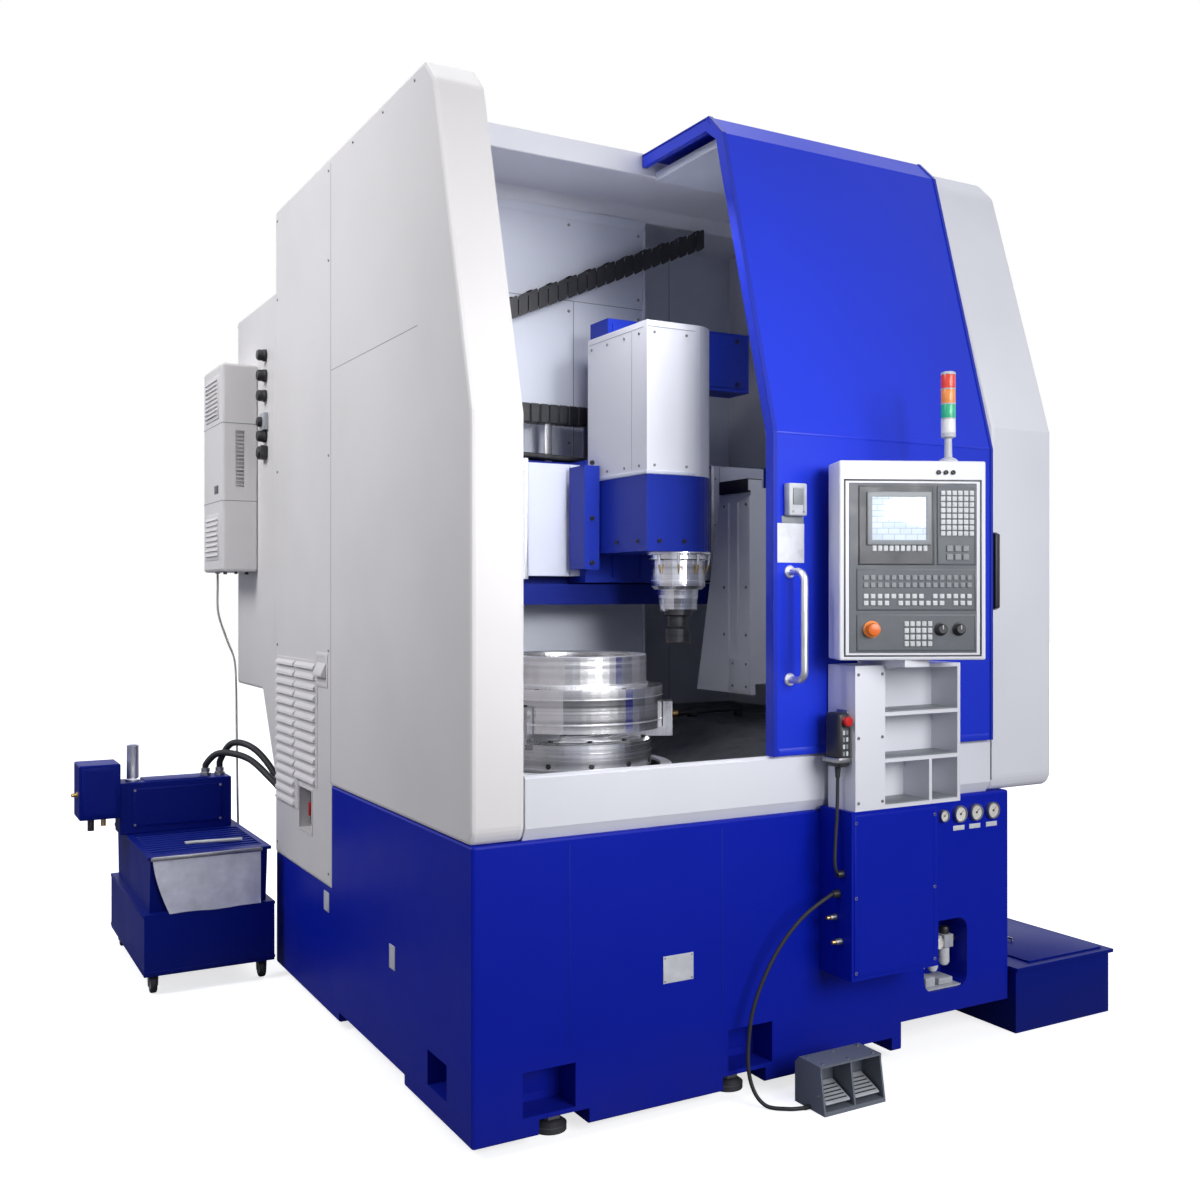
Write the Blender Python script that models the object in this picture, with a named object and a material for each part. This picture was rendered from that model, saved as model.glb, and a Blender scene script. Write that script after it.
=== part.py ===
"""CNC vertical lathe with a sliding guard door, a milling head on a cross rail, an operator's console,
a coolant tank and a filter cart.

Metres, +Z up. While the machine is drawn, X runs from its left side to its right, Y from its front to its
rear and Z from the underside of the base. The last function stands the machine on its pads and moves the
middle of its footprint to the origin.
"""

import math

import bmesh
import bpy
from mathutils import Matrix, Vector

GAP = 0.0003                 # what two touching meshes keep between them
RUNNING_GAP = 0.006          # what moving pieces keep between them
SHEET = 0.003

# Base casting and its pads
BASE_WIDTH = 2.04
BASE_DEPTH = 2.0
BASE_HEIGHT = 0.82
BASE_INSET = 0.004           # the white housing stands this far proud of the base
RAISED_WIDTH = 0.50          # right end of the base, which stands clear of the floor for the pipes
RAISED_HEIGHT = 0.09
PAD_RADIUS = 0.05
PAD_HEIGHT = 0.03
PAD_INSET = 0.095            # from the base's front and rear faces to a pad's centre
PAD_PLACES = (0.285, 0.905, 1.42)
NOTCH_WIDTH = 0.16
NOTCH_HEIGHT = 0.045
SIDE_NOTCH = (0.52, 1.17)
SIDE_NOTCH_HEIGHT = 0.035
POCKET_PLACES = (0.155, 0.845)
POCKET_WIDTH = 0.165
SIDE_POCKET = (0.185, 0.33)
POCKET_HEIGHT = 0.125
POCKET_DEPTH = 0.10
POCKET_SILL = 0.058          # underside of the base to the bottom of a jacking pocket
AIR_RECESS = (1.642, 1.84)   # recess that shelters the compressed-air unit
AIR_RECESS_SILL = 0.167
AIR_RECESS_HEIGHT = 0.235
AIR_RECESS_DEPTH = 0.12

# White enclosure
OVERHANG = 0.215             # the enclosure reaches this far past the base on the right
HOUSING_HEIGHT = 2.247
LEFT_COLUMN = 0.16
RIGHT_COLUMN = 0.31
SHOULDER = 1.18              # top of the base to where the front starts to lean back
RIGHT_SHOULDER = 1.26
LEAN_SETBACK = 0.268         # how far the front has leaned back under the top chamfer
TOP_CHAMFER = 0.075
SKIRT_CHAMFER = 0.035
SKIRT_INSET = 0.02
SIDE_REACH = 0.75            # the left housing reaches down beside the base over this length
SIDE_DROP = 0.37
SIDE_THICKNESS = 0.06        # of the part that reaches down beside the base
SWITCH_RECESS = (1.475, 1.64)
SWITCH_RECESS_DROP = 0.21    # top of the base to the bottom of the main switch's recess
SWITCH_RECESS_HEIGHT = 0.16
SWITCH_RECESS_DEPTH = 0.05
SILL_HEIGHT = 0.176
SILL_DEPTH = 0.12
ROOF_PROUD = 0.033
ROOF_LIP = 0.08
ROOF_SHEET = 0.02
GUARD_SHEET = 0.03           # fixed guard behind the open door
GUARD_OVERLAP = 0.06
GUARD_CHAMFER = 0.055

# Electrical cabinet behind, its cooler and the louvred plate
CABINET_DEPTH = 0.65
CABINET_WIDTH = 1.45
CABINET_DROP = 0.327         # top of the housing to the top of the cabinet
CABINET_RISE = 0.28          # top of the base to the underside of the cabinet
CABINET_TAPER = 0.21
CABINET_KNEE = 0.07
COOLER_SETBACK = 0.284
COOLER_WIDTH = 0.36
COOLER_DEPTH = 0.151
COOLER_HEIGHT = 0.887
COOLER_DROP = 0.253          # top of the cabinet to the top of the cooler
LOUVRE_SETBACK = 0.16
LOUVRE_LENGTH = 0.565
LOUVRE_HEIGHT = 0.58
LOUVRE_DROP = 0.145          # top of the base down to the bottom of the louvres
LOUVRE_ROWS = 15
LOUVRE_MARGIN = 0.02
LOUVRE_PROUD = 0.014

# Guard door
DOOR_WIDTH = 0.94
DOOR_CLEARANCE = 0.005       # to the right column when the door is open
DOOR_THICKNESS = 0.045
DOOR_PROUD = 0.016
DOOR_RISE = 0.018            # top of the housing to the top of the door
DOOR_ROOF_DEPTH = 0.756
DOOR_SKIN = 0.012
DOOR_STILE = 0.02
DOOR_LIP = 0.04
HANDLE_INSET = 0.06
HANDLE_RISE = 0.405          # top of the base to the lower end of the bow handle
HANDLE_LENGTH = 0.36
HANDLE_RADIUS = 0.011
HANDLE_REACH = 0.075
LATCH_RISE = 0.925
LATCH_INSET = 0.038
LATCH_SIZE = (0.07, 0.03, 0.10)

# Work chamber
CHAMBER_BACK = 0.75          # thickness of the rear housing behind the chuck
BAY_BACK = 0.45              # thickness of the rear housing behind the tool magazine bay
BAY_WIDTH = 0.635
PAN_HEIGHT = 0.11
PAN_CLEARANCE = 0.03
CHUCK_X = 0.64
CHUCK_Y = 0.62
CHUCK_RADIUS = 0.265
CHUCK_HEIGHT = 0.21          # top of the base to the chuck's face
CHUCK_BORE = 0.07
SLOT_WIDTH = 0.03
SLOT_DEPTH = 0.025
JAW_INNER = 0.13
JAW_OUTER = 0.335
JAW_WIDTH = 0.08
JAW_FOOT = 0.032             # chuck's face to the work that the jaws carry
JAW_HEIGHT = 0.115
FLANGE_RADIUS = 0.303
FLANGE_HEIGHT = 0.138
RING_RADIUS = 0.25
RING_BORE = 0.205
RING_HEIGHT = 0.10
GUARD_INSET = 0.545          # right column to the side sheet of the tool magazine's guard
GUARD_THICKNESS = 0.02
GUARD_RISE = 0.201           # chip pan to the lower edge of the guard
GUARD_HEIGHT = 0.766
GUARD_FOOT = 0.356           # length of the side sheet along its lower edge
GUARD_LEAN = 0.163           # how far its rear edge leans forward, in front of the cross rail
GUARD_SETBACK = 0.071        # front of the cross rail to the lower rear corner of the guard
GUARD_NOTCH = 0.039          # front sheet's lower edge above the side sheet's
DUCT_SIZE = (0.05, 0.08)

# Cross rail, saddle and milling head
RAIL_RISE = 0.435            # chuck's face to the underside of the rail
RAIL_HEIGHT = 0.535
RAIL_DEPTH = 0.18
RAIL_LIP_REACH = 0.11
RAIL_LIP_HEIGHT = 0.075
RAIL_END = 0.245             # right column to the end of the rail
END_PLATE = 0.012
GUIDE_WIDTH = 0.034
GUIDE_RISES = (0.135, 0.395)
GUIDE_SPREAD = 0.12
GUIDE_SHIFT = 0.03           # guides sit right of the head's middle, on the column
COVER_REACH = 0.12
LEFT_COVER_LENGTH = 0.262
RIGHT_COVER_LENGTH = 0.255
COVER_STEP = 0.012
SADDLE_WIDTH = 0.5
SADDLE_THICKNESS = 0.134
SADDLE_HEIGHT = 0.984
SADDLE_OFFSET = 0.204        # spindle to the saddle's left edge
SADDLE_FOOT_HEIGHT = 0.45    # full-width part of the saddle beside the way covers
SADDLE_COLUMN_INSET = 0.095  # saddle's left edge to the left edge of the column above
SADDLE_ARM = (0.24, 0.23)    # reach and height of the arm at the column's top right
SHOE_SIZE = (0.06, 0.103)    # shoe beside the head: width and reach in front of the saddle
SHOE_RISE = 0.047
SHOE_HEIGHT = 0.373
SPINDLE_TRAVEL = 0.424       # chuck's axis to the parked spindle's
HEAD_WIDTH = 0.307
HEAD_NOSE_MARGIN = 0.11      # spindle axis to the head's front and to its right side
HEAD_RISE = 0.185            # underside of the rail to the underside of the head
HEAD_HOUSING_HEIGHT = 0.262
HEAD_COVER_HEIGHT = 0.523
NOSE_RADIUS = 0.104
NOSE_HEIGHT = 0.13
QUILL_RADIUS = 0.072
QUILL_HEIGHT = 0.07
HOLDER_RADIUS = 0.045
HOLDER_LENGTH = 0.115

# Operator's stand, console and foot switch
STAND_OFFSET = 0.21          # open door's left edge to the stand's
STAND_WIDTH = 0.44
STAND_DEPTH = 0.15
STAND_RISE = 0.015
STAND_HEIGHT = 0.447
STAND_SHEET = 0.012
BAY_OFFSET = 0.12
BAY_HEIGHTS = (0.155, 0.145)
BAY_DIVISION = 0.185
BOX_OFFSET = 0.015
BOX_WIDTH = 0.36
BOX_HEIGHT = 0.519
CONSOLE_OFFSET = 0.161       # stand's left edge to the console's pivot
CONSOLE_Y = -0.197
CONSOLE_TURN = math.radians(-25)
CONSOLE_WIDTH = 0.456
CONSOLE_DEPTH = 0.13
CONSOLE_HEIGHT = 0.606
CONSOLE_FORWARD = 0.07       # pivot to the console's front face
PANEL_MARGIN = 0.03
PANEL_FOOT = 0.022
PANEL_HEAD = 0.068
PANEL_RECESS = 0.008
ARM_THICKNESS = 0.02
ARM_HALF_WIDTH = 0.05
TOWER_HEIGHT = 0.285
TOWER_RADIUS = 0.023
PENDANT_SIZE = (0.045, 0.07, 0.167)
PENDANT_SETBACK = 0.021
PENDANT_RISE = 0.135
PEDAL_OFFSET = 0.02          # open door's left edge to the foot switch
PEDAL_WIDTH = 0.235
PEDAL_FRONT = -0.235
PEDAL_DEPTH = 0.14
PEDAL_HEIGHT = 0.14
PEDAL_WALL = 0.006
PEDAL_FLOOR = 0.012

# Coolant tank on the right
TANK_CLEARANCE = 0.006
TANK_WIDTH = 0.50
TANK_FRONT = -0.03
TANK_LENGTH = 1.75
TANK_HEIGHT = 0.23
TANK_RIM = 0.012

# Filter cart on the left
CART_CLEARANCE = 0.035
CART_WIDTH = 0.495
CART_LEAD = 0.12             # the cart stands this far forward of the base's rear
CART_LENGTH = 0.84
CART_FLOOR = 0.045
CART_TANK_HEIGHT = 0.235
CART_TROUGH_HEIGHT = 0.22
CART_TROUGH_TAPER = 0.04
CART_TROUGH_INSET = 0.025
CART_RIM = 0.012
FILTER_SETBACK = 0.52
FILTER_DEPTH = 0.14
FILTER_HEIGHT = 0.215
FILTER_INSET = 0.05
PUMP_SIZE = (0.16, 0.18, 0.225)
PUMP_RISE = 0.075
PIPE_RADIUS = 0.022
PIPE_HEIGHT = 0.15
PAPER_DROP = 0.227           # filter paper that hangs over the trough's front rim
PAPER_INSET = (0.03, 0.055)  # from the cart's left and right sides
CASTER_RADIUS = 0.037
CASTER_WIDTH = 0.03
CASTER_INSET = (0.04, 0.05)

# Free cords
SWITCH_CORD_RADIUS = 0.006
CORD_LIFT = 0.0013           # keeps the rounded end of its route off the floor
PENDANT_CORD_RADIUS = 0.0055
HOSE_RADIUS = 0.014
DRAIN_RADIUS = 0.005

ARC_SIDES = 48

# Places that follow from the sizes
ENCLOSURE_WIDTH = BASE_WIDTH + OVERHANG
HOUSING_TOP = BASE_HEIGHT + HOUSING_HEIGHT
SHOULDER_TOP = BASE_HEIGHT + SHOULDER
LEAN_TOP = HOUSING_TOP - TOP_CHAMFER
INNER_LEFT = LEFT_COLUMN + GAP
INNER_RIGHT = ENCLOSURE_WIDTH - RIGHT_COLUMN - GAP
SILL_TOP = BASE_HEIGHT + SILL_HEIGHT
SIDE_FRONT = BASE_DEPTH - SIDE_REACH
ROOF_TOP = HOUSING_TOP + ROOF_PROUD
ROOF_UNDERSIDE = ROOF_TOP - ROOF_LIP
CABINET_TOP = HOUSING_TOP - CABINET_DROP
CABINET_REAR = BASE_DEPTH + CABINET_DEPTH
DOOR_RIGHT = INNER_RIGHT + GAP - DOOR_CLEARANCE
DOOR_LEFT = DOOR_RIGHT - DOOR_WIDTH
DOOR_TOP = HOUSING_TOP + DOOR_RISE
REAR_WALL = BASE_DEPTH - CHAMBER_BACK
BAY_WALL = BASE_DEPTH - BAY_BACK
BAY_LEFT = INNER_RIGHT - BAY_WIDTH
PAN_TOP = BASE_HEIGHT + PAN_HEIGHT
CHUCK_TOP = BASE_HEIGHT + CHUCK_HEIGHT
RAIL_BOTTOM = CHUCK_TOP + RAIL_RISE
RAIL_TOP = RAIL_BOTTOM + RAIL_HEIGHT
RAIL_LIP_TOP = RAIL_BOTTOM + RAIL_LIP_HEIGHT
RAIL_FRONT = REAR_WALL - RAIL_DEPTH
RAIL_RIGHT = INNER_RIGHT - RAIL_END
COVER_FRONT = RAIL_FRONT - COVER_REACH
SPINDLE_X = CHUCK_X + SPINDLE_TRAVEL
SPINDLE_Y = CHUCK_Y
SADDLE_LEFT = SPINDLE_X - SADDLE_OFFSET
SADDLE_RIGHT = SADDLE_LEFT + SADDLE_WIDTH
SADDLE_REAR = RAIL_FRONT - RUNNING_GAP
SADDLE_FRONT = SADDLE_REAR - SADDLE_THICKNESS
SADDLE_BOTTOM = RAIL_LIP_TOP + RUNNING_GAP
SADDLE_TOP = SADDLE_BOTTOM + SADDLE_HEIGHT
HEAD_BOTTOM = RAIL_BOTTOM + HEAD_RISE
HEAD_SPLIT = HEAD_BOTTOM + HEAD_HOUSING_HEIGHT
HEAD_TOP = HEAD_SPLIT + HEAD_COVER_HEIGHT
STAND_LEFT = DOOR_LEFT + STAND_OFFSET
STAND_RIGHT = STAND_LEFT + STAND_WIDTH
STAND_REAR = -DOOR_PROUD - RUNNING_GAP
STAND_BOTTOM = BASE_HEIGHT + STAND_RISE
STAND_TOP = STAND_BOTTOM + STAND_HEIGHT
CONSOLE_X = STAND_LEFT + CONSOLE_OFFSET
CONSOLE_BOTTOM = STAND_TOP + ARM_THICKNESS
CONSOLE_TOP = CONSOLE_BOTTOM + CONSOLE_HEIGHT
BOX_LEFT = STAND_LEFT - BOX_OFFSET
PEDAL_LEFT = DOOR_LEFT + PEDAL_OFFSET
CART_RIGHT = -CART_CLEARANCE
CART_LEFT = CART_RIGHT - CART_WIDTH
CART_FRONT = BASE_DEPTH - CART_LEAD
CART_REAR = CART_FRONT + CART_LENGTH
CART_SHOULDER = CART_FLOOR + CART_TANK_HEIGHT
CART_TOP = CART_SHOULDER + CART_TROUGH_HEIGHT
FILTER_FRONT = CART_FRONT + FILTER_SETBACK
FILTER_TOP = CART_TOP + FILTER_HEIGHT
FLOOR = -PAD_HEIGHT

FINISHES = {
    "white": ((0.80, 0.80, 0.84), 0.45, 0.0),
    "grey": ((0.62, 0.64, 0.68), 0.5, 0.0),
    "blue": ((0.02, 0.035, 0.42), 0.4, 0.0),
    "black": ((0.02, 0.02, 0.022), 0.55, 0.0),
    "pale": ((0.6, 0.6, 0.56), 0.5, 0.0),
    "steel": ((0.62, 0.62, 0.62), 0.25, 1.0),
    "iron": ((0.12, 0.12, 0.13), 0.6, 0.3),
    "panel": ((0.16, 0.18, 0.2), 0.5, 0.0),
    "lamp": ((0.7, 0.1, 0.06), 0.3, 0.0),
}


# Drawing helpers

def clear_scene():
    for obj in list(bpy.data.objects):
        bpy.data.objects.remove(obj)


def finish_of(name):
    """The Principled BSDF material of that name, made once."""
    material = bpy.data.materials.get(name)
    if material is None:
        colour, roughness, metallic = FINISHES[name]
        material = bpy.data.materials.new(name)
        material.use_nodes = True
        shader = material.node_tree.nodes["Principled BSDF"]
        shader.inputs["Base Color"].default_value = (*colour, 1.0)
        shader.inputs["Roughness"].default_value = roughness
        shader.inputs["Metallic"].default_value = metallic
    return material


def add_object(name, shape, finish, origin=(0, 0, 0), smooth=False):
    """Turns a bmesh drawn in machine coordinates into an object whose origin is where asked."""
    bmesh.ops.remove_doubles(shape, verts=shape.verts, dist=1e-6)
    bmesh.ops.recalc_face_normals(shape, faces=shape.faces)
    bmesh.ops.translate(shape, verts=shape.verts, vec=-Vector(origin))
    mesh = bpy.data.meshes.new(name)
    shape.to_mesh(mesh)
    shape.free()
    if smooth:
        mesh.shade_smooth()
        mesh.set_sharp_from_angle(angle=math.radians(35))
    obj = bpy.data.objects.new(name, mesh)
    obj.location = origin
    bpy.context.scene.collection.objects.link(obj)
    obj.data.materials.append(finish_of(finish))
    return obj


def box_shape(x0, x1, y0, y1, z0, z1):
    shape = bmesh.new()
    middle = Vector(((x0 + x1) / 2, (y0 + y1) / 2, (z0 + z1) / 2))
    size = Matrix.Diagonal((x1 - x0, y1 - y0, z1 - z0, 1))
    bmesh.ops.create_cube(shape, size=1, matrix=Matrix.Translation(middle) @ size)
    return shape


def box(name, x0, x1, y0, y1, z0, z1, finish, bevel=0.0, origin=(0, 0, 0)):
    obj = add_object(name, box_shape(x0, x1, y0, y1, z0, z1), finish, origin)
    if bevel:
        round_edges(obj, bevel)
    return obj


def profile_shape(outline, axis, low, high):
    """A flat outline drawn across an axis and extruded along it. The outline's two numbers are the other
    two coordinates, in X, Y, Z order."""
    shape = bmesh.new()
    places = {
        "X": lambda u, v: (low, u, v),
        "Y": lambda u, v: (u, low, v),
        "Z": lambda u, v: (u, v, low),
    }
    corners = [shape.verts.new(places[axis](u, v)) for u, v in outline]
    face = shape.faces.new(corners)
    grown = bmesh.ops.extrude_face_region(shape, geom=[face])
    moved = [item for item in grown["geom"] if isinstance(item, bmesh.types.BMVert)]
    along = {"X": Vector((1, 0, 0)), "Y": Vector((0, 1, 0)), "Z": Vector((0, 0, 1))}[axis]
    bmesh.ops.translate(shape, verts=moved, vec=along * (high - low))
    return shape


def profile(name, outline, axis, low, high, finish, bevel=0.0, origin=(0, 0, 0)):
    obj = add_object(name, profile_shape(outline, axis, low, high), finish, origin)
    if bevel:
        round_edges(obj, bevel)
    return obj


def turned_shape(outline, centre, sides=ARC_SIDES):
    """A profile of (radius, height) points spun about a vertical axis. It starts and ends on the axis, or
    closes on itself."""
    shape = bmesh.new()
    x, y = centre
    points = [shape.verts.new((x + radius, y, height)) for radius, height in outline]
    edges = [shape.edges.new(pair) for pair in zip(points, points[1:])]
    if outline[0][0] > 0:
        edges.append(shape.edges.new((points[-1], points[0])))
    bmesh.ops.spin(shape, geom=edges, cent=(x, y, 0), axis=(0, 0, 1), angle=2 * math.pi,
                   steps=sides, use_merge=True)
    return shape


def turned(name, outline, centre, finish, sides=ARC_SIDES, origin=(0, 0, 0)):
    return add_object(name, turned_shape(outline, centre, sides), finish, origin, smooth=True)


def bar_shape(start, end, radius, sides=24):
    """A round bar between two points."""
    shape = bmesh.new()
    a, b = Vector(start), Vector(end)
    turn = (b - a).to_track_quat("Z", "Y").to_matrix().to_4x4()
    bmesh.ops.create_cone(shape, cap_ends=True, segments=sides, radius1=radius, radius2=radius,
                          depth=(b - a).length, matrix=Matrix.Translation((a + b) / 2) @ turn)
    return shape


def bar(name, start, end, radius, finish, sides=24, origin=(0, 0, 0)):
    return add_object(name, bar_shape(start, end, radius, sides), finish, origin, smooth=True)


def round_edges(obj, width, segments=2):
    modifier = obj.modifiers.new("rounded edges", "BEVEL")
    modifier.width = width
    modifier.segments = segments
    modifier.limit_method = "ANGLE"
    modifier.angle_limit = math.radians(25)


def combine(obj, shape, operation):
    """Cuts a shape from an object, or joins one to it, by a Boolean with a hidden helper."""
    helper = add_object(obj.name + " helper", shape, "iron")
    helper.hide_render = True
    helper.display_type = "WIRE"
    modifier = obj.modifiers.new(operation.lower(), "BOOLEAN")
    modifier.operation = operation
    modifier.object = helper


def cut(obj, shape):
    combine(obj, shape, "DIFFERENCE")


def join(obj, shape):
    combine(obj, shape, "UNION")


def rounded_rectangle(x0, x1, z0, z1, radius, steps=5):
    """Corner points of a rectangle with rounded corners."""
    points = []
    for cx, cz, start in ((x1 - radius, z0 + radius, -90), (x1 - radius, z1 - radius, 0),
                          (x0 + radius, z1 - radius, 90), (x0 + radius, z0 + radius, 180)):
        for step in range(steps + 1):
            angle = math.radians(start + 90 * step / steps)
            points.append((cx + radius * math.cos(angle), cz + radius * math.sin(angle)))
    return points


def smooth_route(stops, spacing):
    """Points along a smooth curve through the stops, about one spacing apart. The first and last stretch
    stay straight, so the cord's ends are square to what they meet."""
    stops = [Vector(stop) for stop in stops]
    dense = []
    for before, here, there, after in zip(stops, stops[1:], stops[2:], stops[3:]):
        for step in range(24):
            t = step / 24
            dense.append(0.5 * (2 * here + (there - before) * t
                                + (2 * before - 5 * here + 4 * there - after) * t * t
                                + (3 * here - before - 3 * there + after) * t ** 3))
    dense.append(stops[-2])
    length = sum((b - a).length for a, b in zip(dense, dense[1:]))
    count = max(4, min(76, round(length / spacing)))
    points = [stops[0], dense[0]]
    walked = 0.0
    for a, b in zip(dense, dense[1:]):
        step = (b - a).length
        while len(points) <= count and walked + step >= length * (len(points) - 1) / count:
            share = (length * (len(points) - 1) / count - walked) / step
            points.append(a.lerp(b, share))
        walked += step
    return points + [stops[-2], stops[-1]]


def cord(name, stops, radius, finish):
    """A flexible cord: a round tube along a smooth route, with closed ends."""
    curve = bpy.data.curves.new(name, "CURVE")
    curve.dimensions = "3D"
    points = smooth_route(stops, max(0.02, 2 * radius))
    spline = curve.splines.new("POLY")
    spline.points.add(len(points) - 1)
    for place, point in zip(spline.points, points):
        place.co = (*point, 1)
    curve.bevel_depth = radius
    curve.bevel_resolution = 2
    curve.use_fill_caps = True
    curve.materials.append(finish_of(finish))
    obj = bpy.data.objects.new(name, curve)
    bpy.context.scene.collection.objects.link(obj)
    return obj


# Base

def make_base():
    base = box("base_casting", BASE_INSET, BASE_WIDTH, BASE_INSET, BASE_DEPTH, 0, BASE_HEIGHT - GAP,
               "blue", 0.008)
    cut(base, box_shape(BASE_WIDTH - RAISED_WIDTH, BASE_WIDTH + 0.1, -0.1, BASE_DEPTH + 0.1,
                        -0.1, RAISED_HEIGHT))
    cut(base, box_shape(-0.1, PAD_INSET, *SIDE_NOTCH, -0.1, SIDE_NOTCH_HEIGHT))
    cut(base, box_shape(-0.1, SIDE_THICKNESS, SIDE_FRONT - GAP, BASE_DEPTH + 0.1,
                        BASE_HEIGHT - SIDE_DROP - GAP, BASE_HEIGHT + 0.1))
    number = 0
    for x in PAD_PLACES:
        for front in (True, False):
            y = BASE_INSET + PAD_INSET if front else BASE_DEPTH - PAD_INSET
            reach = (-0.1, y + NOTCH_WIDTH / 2) if front else (y - NOTCH_WIDTH / 2, BASE_DEPTH + 0.1)
            cut(base, box_shape(x - NOTCH_WIDTH / 2, x + NOTCH_WIDTH / 2, *reach, -0.1, NOTCH_HEIGHT))
            number += 1
            make_pad(number, x, y)
    for x in POCKET_PLACES:
        cut(base, box_shape(x, x + POCKET_WIDTH, -0.1, BASE_INSET + POCKET_DEPTH,
                            POCKET_SILL, POCKET_SILL + POCKET_HEIGHT))
    cut(base, box_shape(-0.1, BASE_INSET + POCKET_DEPTH, *SIDE_POCKET,
                        POCKET_SILL + 0.012, POCKET_SILL + POCKET_HEIGHT - 0.01))
    recess = rounded_rectangle(*AIR_RECESS, AIR_RECESS_SILL, AIR_RECESS_SILL + AIR_RECESS_HEIGHT, 0.04)
    cut(base, profile_shape(recess, "Y", -0.1, BASE_INSET + AIR_RECESS_DEPTH))


def make_pad(number, x, y):
    """Levelling pad: a round foot with a domed top under a jack screw."""
    outline = [(0, FLOOR), (PAD_RADIUS, FLOOR), (PAD_RADIUS, FLOOR + 0.018), (0.035, FLOOR + 0.03),
               (0.022, FLOOR + 0.036), (0.022, NOTCH_HEIGHT - GAP), (0, NOTCH_HEIGHT - GAP)]
    turned(f"levelling_pad_{number}", outline, (x, y), "iron", 32)


# White enclosure

def end_outline(shoulder):
    """Front, top and rear of an end housing, seen from the side, from the skirt up and round."""
    return [(0, BASE_HEIGHT + SKIRT_CHAMFER), (0, shoulder), (LEAN_SETBACK, LEAN_TOP),
            (LEAN_SETBACK + TOP_CHAMFER, HOUSING_TOP), (BASE_DEPTH, HOUSING_TOP)]


def make_left_housing():
    """Left column and side wall, which reaches down beside the rear of the base."""
    low = BASE_HEIGHT - SIDE_DROP
    outline = end_outline(SHOULDER_TOP) + [
        (BASE_DEPTH, low), (SIDE_FRONT, low), (SIDE_FRONT, BASE_HEIGHT), (SKIRT_INSET, BASE_HEIGHT)]
    housing = profile("left_side_housing", outline, "X", 0, LEFT_COLUMN, "white", 0.012)
    cut(housing, box_shape(BASE_INSET - GAP, LEFT_COLUMN + 0.1, SIDE_FRONT - 0.1, SIDE_FRONT,
                           low - 0.1, BASE_HEIGHT))
    cut(housing, box_shape(SIDE_THICKNESS - GAP, LEFT_COLUMN + 0.1, SIDE_FRONT - 0.1, BASE_DEPTH + 0.1,
                           low - 0.1, BASE_HEIGHT))
    sill = BASE_HEIGHT - SWITCH_RECESS_DROP
    cut(housing, box_shape(-0.1, SWITCH_RECESS_DEPTH, *SWITCH_RECESS, sill, sill + SWITCH_RECESS_HEIGHT))


def make_right_housing():
    outline = end_outline(BASE_HEIGHT + RIGHT_SHOULDER) + [(BASE_DEPTH, BASE_HEIGHT),
                                                           (SKIRT_INSET, BASE_HEIGHT)]
    housing = profile("right_side_housing", outline, "X", INNER_RIGHT + GAP, ENCLOSURE_WIDTH, "white")
    round_edges(housing, 0.022, 3)


def make_sill():
    """Sill under the opening, with the rail that the door's sheet rides on."""
    rail = SILL_TOP + RUNNING_GAP - GAP
    outline = [(0, BASE_HEIGHT + SKIRT_CHAMFER), (0, SILL_TOP - 0.004), (0.004, SILL_TOP),
               (0.006, SILL_TOP), (0.006, rail), (0.018, rail), (0.018, SILL_TOP),
               (SILL_DEPTH, SILL_TOP - 0.02), (SILL_DEPTH, BASE_HEIGHT), (SKIRT_INSET, BASE_HEIGHT)]
    profile("front_sill", outline, "X", INNER_LEFT, INNER_RIGHT, "white")


def leaning_line(depth, top):
    """The front's break and its place at a height, for a sheet at that depth behind the front plane."""
    lean = math.atan2(LEAN_SETBACK, LEAN_TOP - SHOULDER_TOP)
    break_point = (depth, SHOULDER_TOP - depth * math.tan(lean / 2))
    upper_point = ((top - SHOULDER_TOP) * math.tan(lean) + depth / math.cos(lean), top)
    return break_point, upper_point


def make_fixed_guard():
    """Bent sheet behind the open door and under its roof, which closes the right of the front when the
    door is shut."""
    bottom = SILL_TOP + GAP
    top = DOOR_TOP - DOOR_LIP - RUNNING_GAP
    underside = top - GUARD_SHEET
    rear = DOOR_ROOF_DEPTH + RUNNING_GAP - GAP
    outer = leaning_line(DOOR_THICKNESS, LEAN_TOP)
    inner = leaning_line(DOOR_THICKNESS + GUARD_SHEET, LEAN_TOP - 0.4 * GUARD_SHEET)
    run = GUARD_CHAMFER * (underside - inner[1][1]) / (top - LEAN_TOP)
    outline = [(outer[0][0], bottom), *outer, (outer[1][0] + GUARD_CHAMFER, top), (rear, top),
               (rear, underside), (inner[1][0] + run, underside), *reversed(inner), (inner[0][0], bottom)]
    profile("fixed_front_guard", outline, "X", DOOR_LEFT + GUARD_OVERLAP, INNER_RIGHT, "grey")


def make_roof():
    """Roof sheet with a lip over the door's roof at its front, and the box over the rear housing."""
    front = DOOR_ROOF_DEPTH + RUNNING_GAP
    skin = ROOF_TOP - ROOF_SHEET
    outline = [(front, ROOF_UNDERSIDE), (front, ROOF_TOP), (BASE_DEPTH, ROOF_TOP),
               (BASE_DEPTH, ROOF_UNDERSIDE), (REAR_WALL, ROOF_UNDERSIDE), (REAR_WALL, skin),
               (front + ROOF_SHEET, skin), (front + ROOF_SHEET, ROOF_UNDERSIDE)]
    profile("roof_panel", outline, "X", INNER_LEFT, INNER_RIGHT, "white", 0.004)


def make_rear_housing():
    """Column behind the chamber, set back on the right for the tool magazine's bay."""
    plan = [(INNER_LEFT, REAR_WALL), (BAY_LEFT, REAR_WALL), (BAY_LEFT, BAY_WALL),
            (INNER_RIGHT, BAY_WALL), (INNER_RIGHT, BASE_DEPTH), (INNER_LEFT, BASE_DEPTH)]
    profile("rear_housing", plan, "Z", BASE_HEIGHT, ROOF_UNDERSIDE - GAP, "grey")


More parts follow.
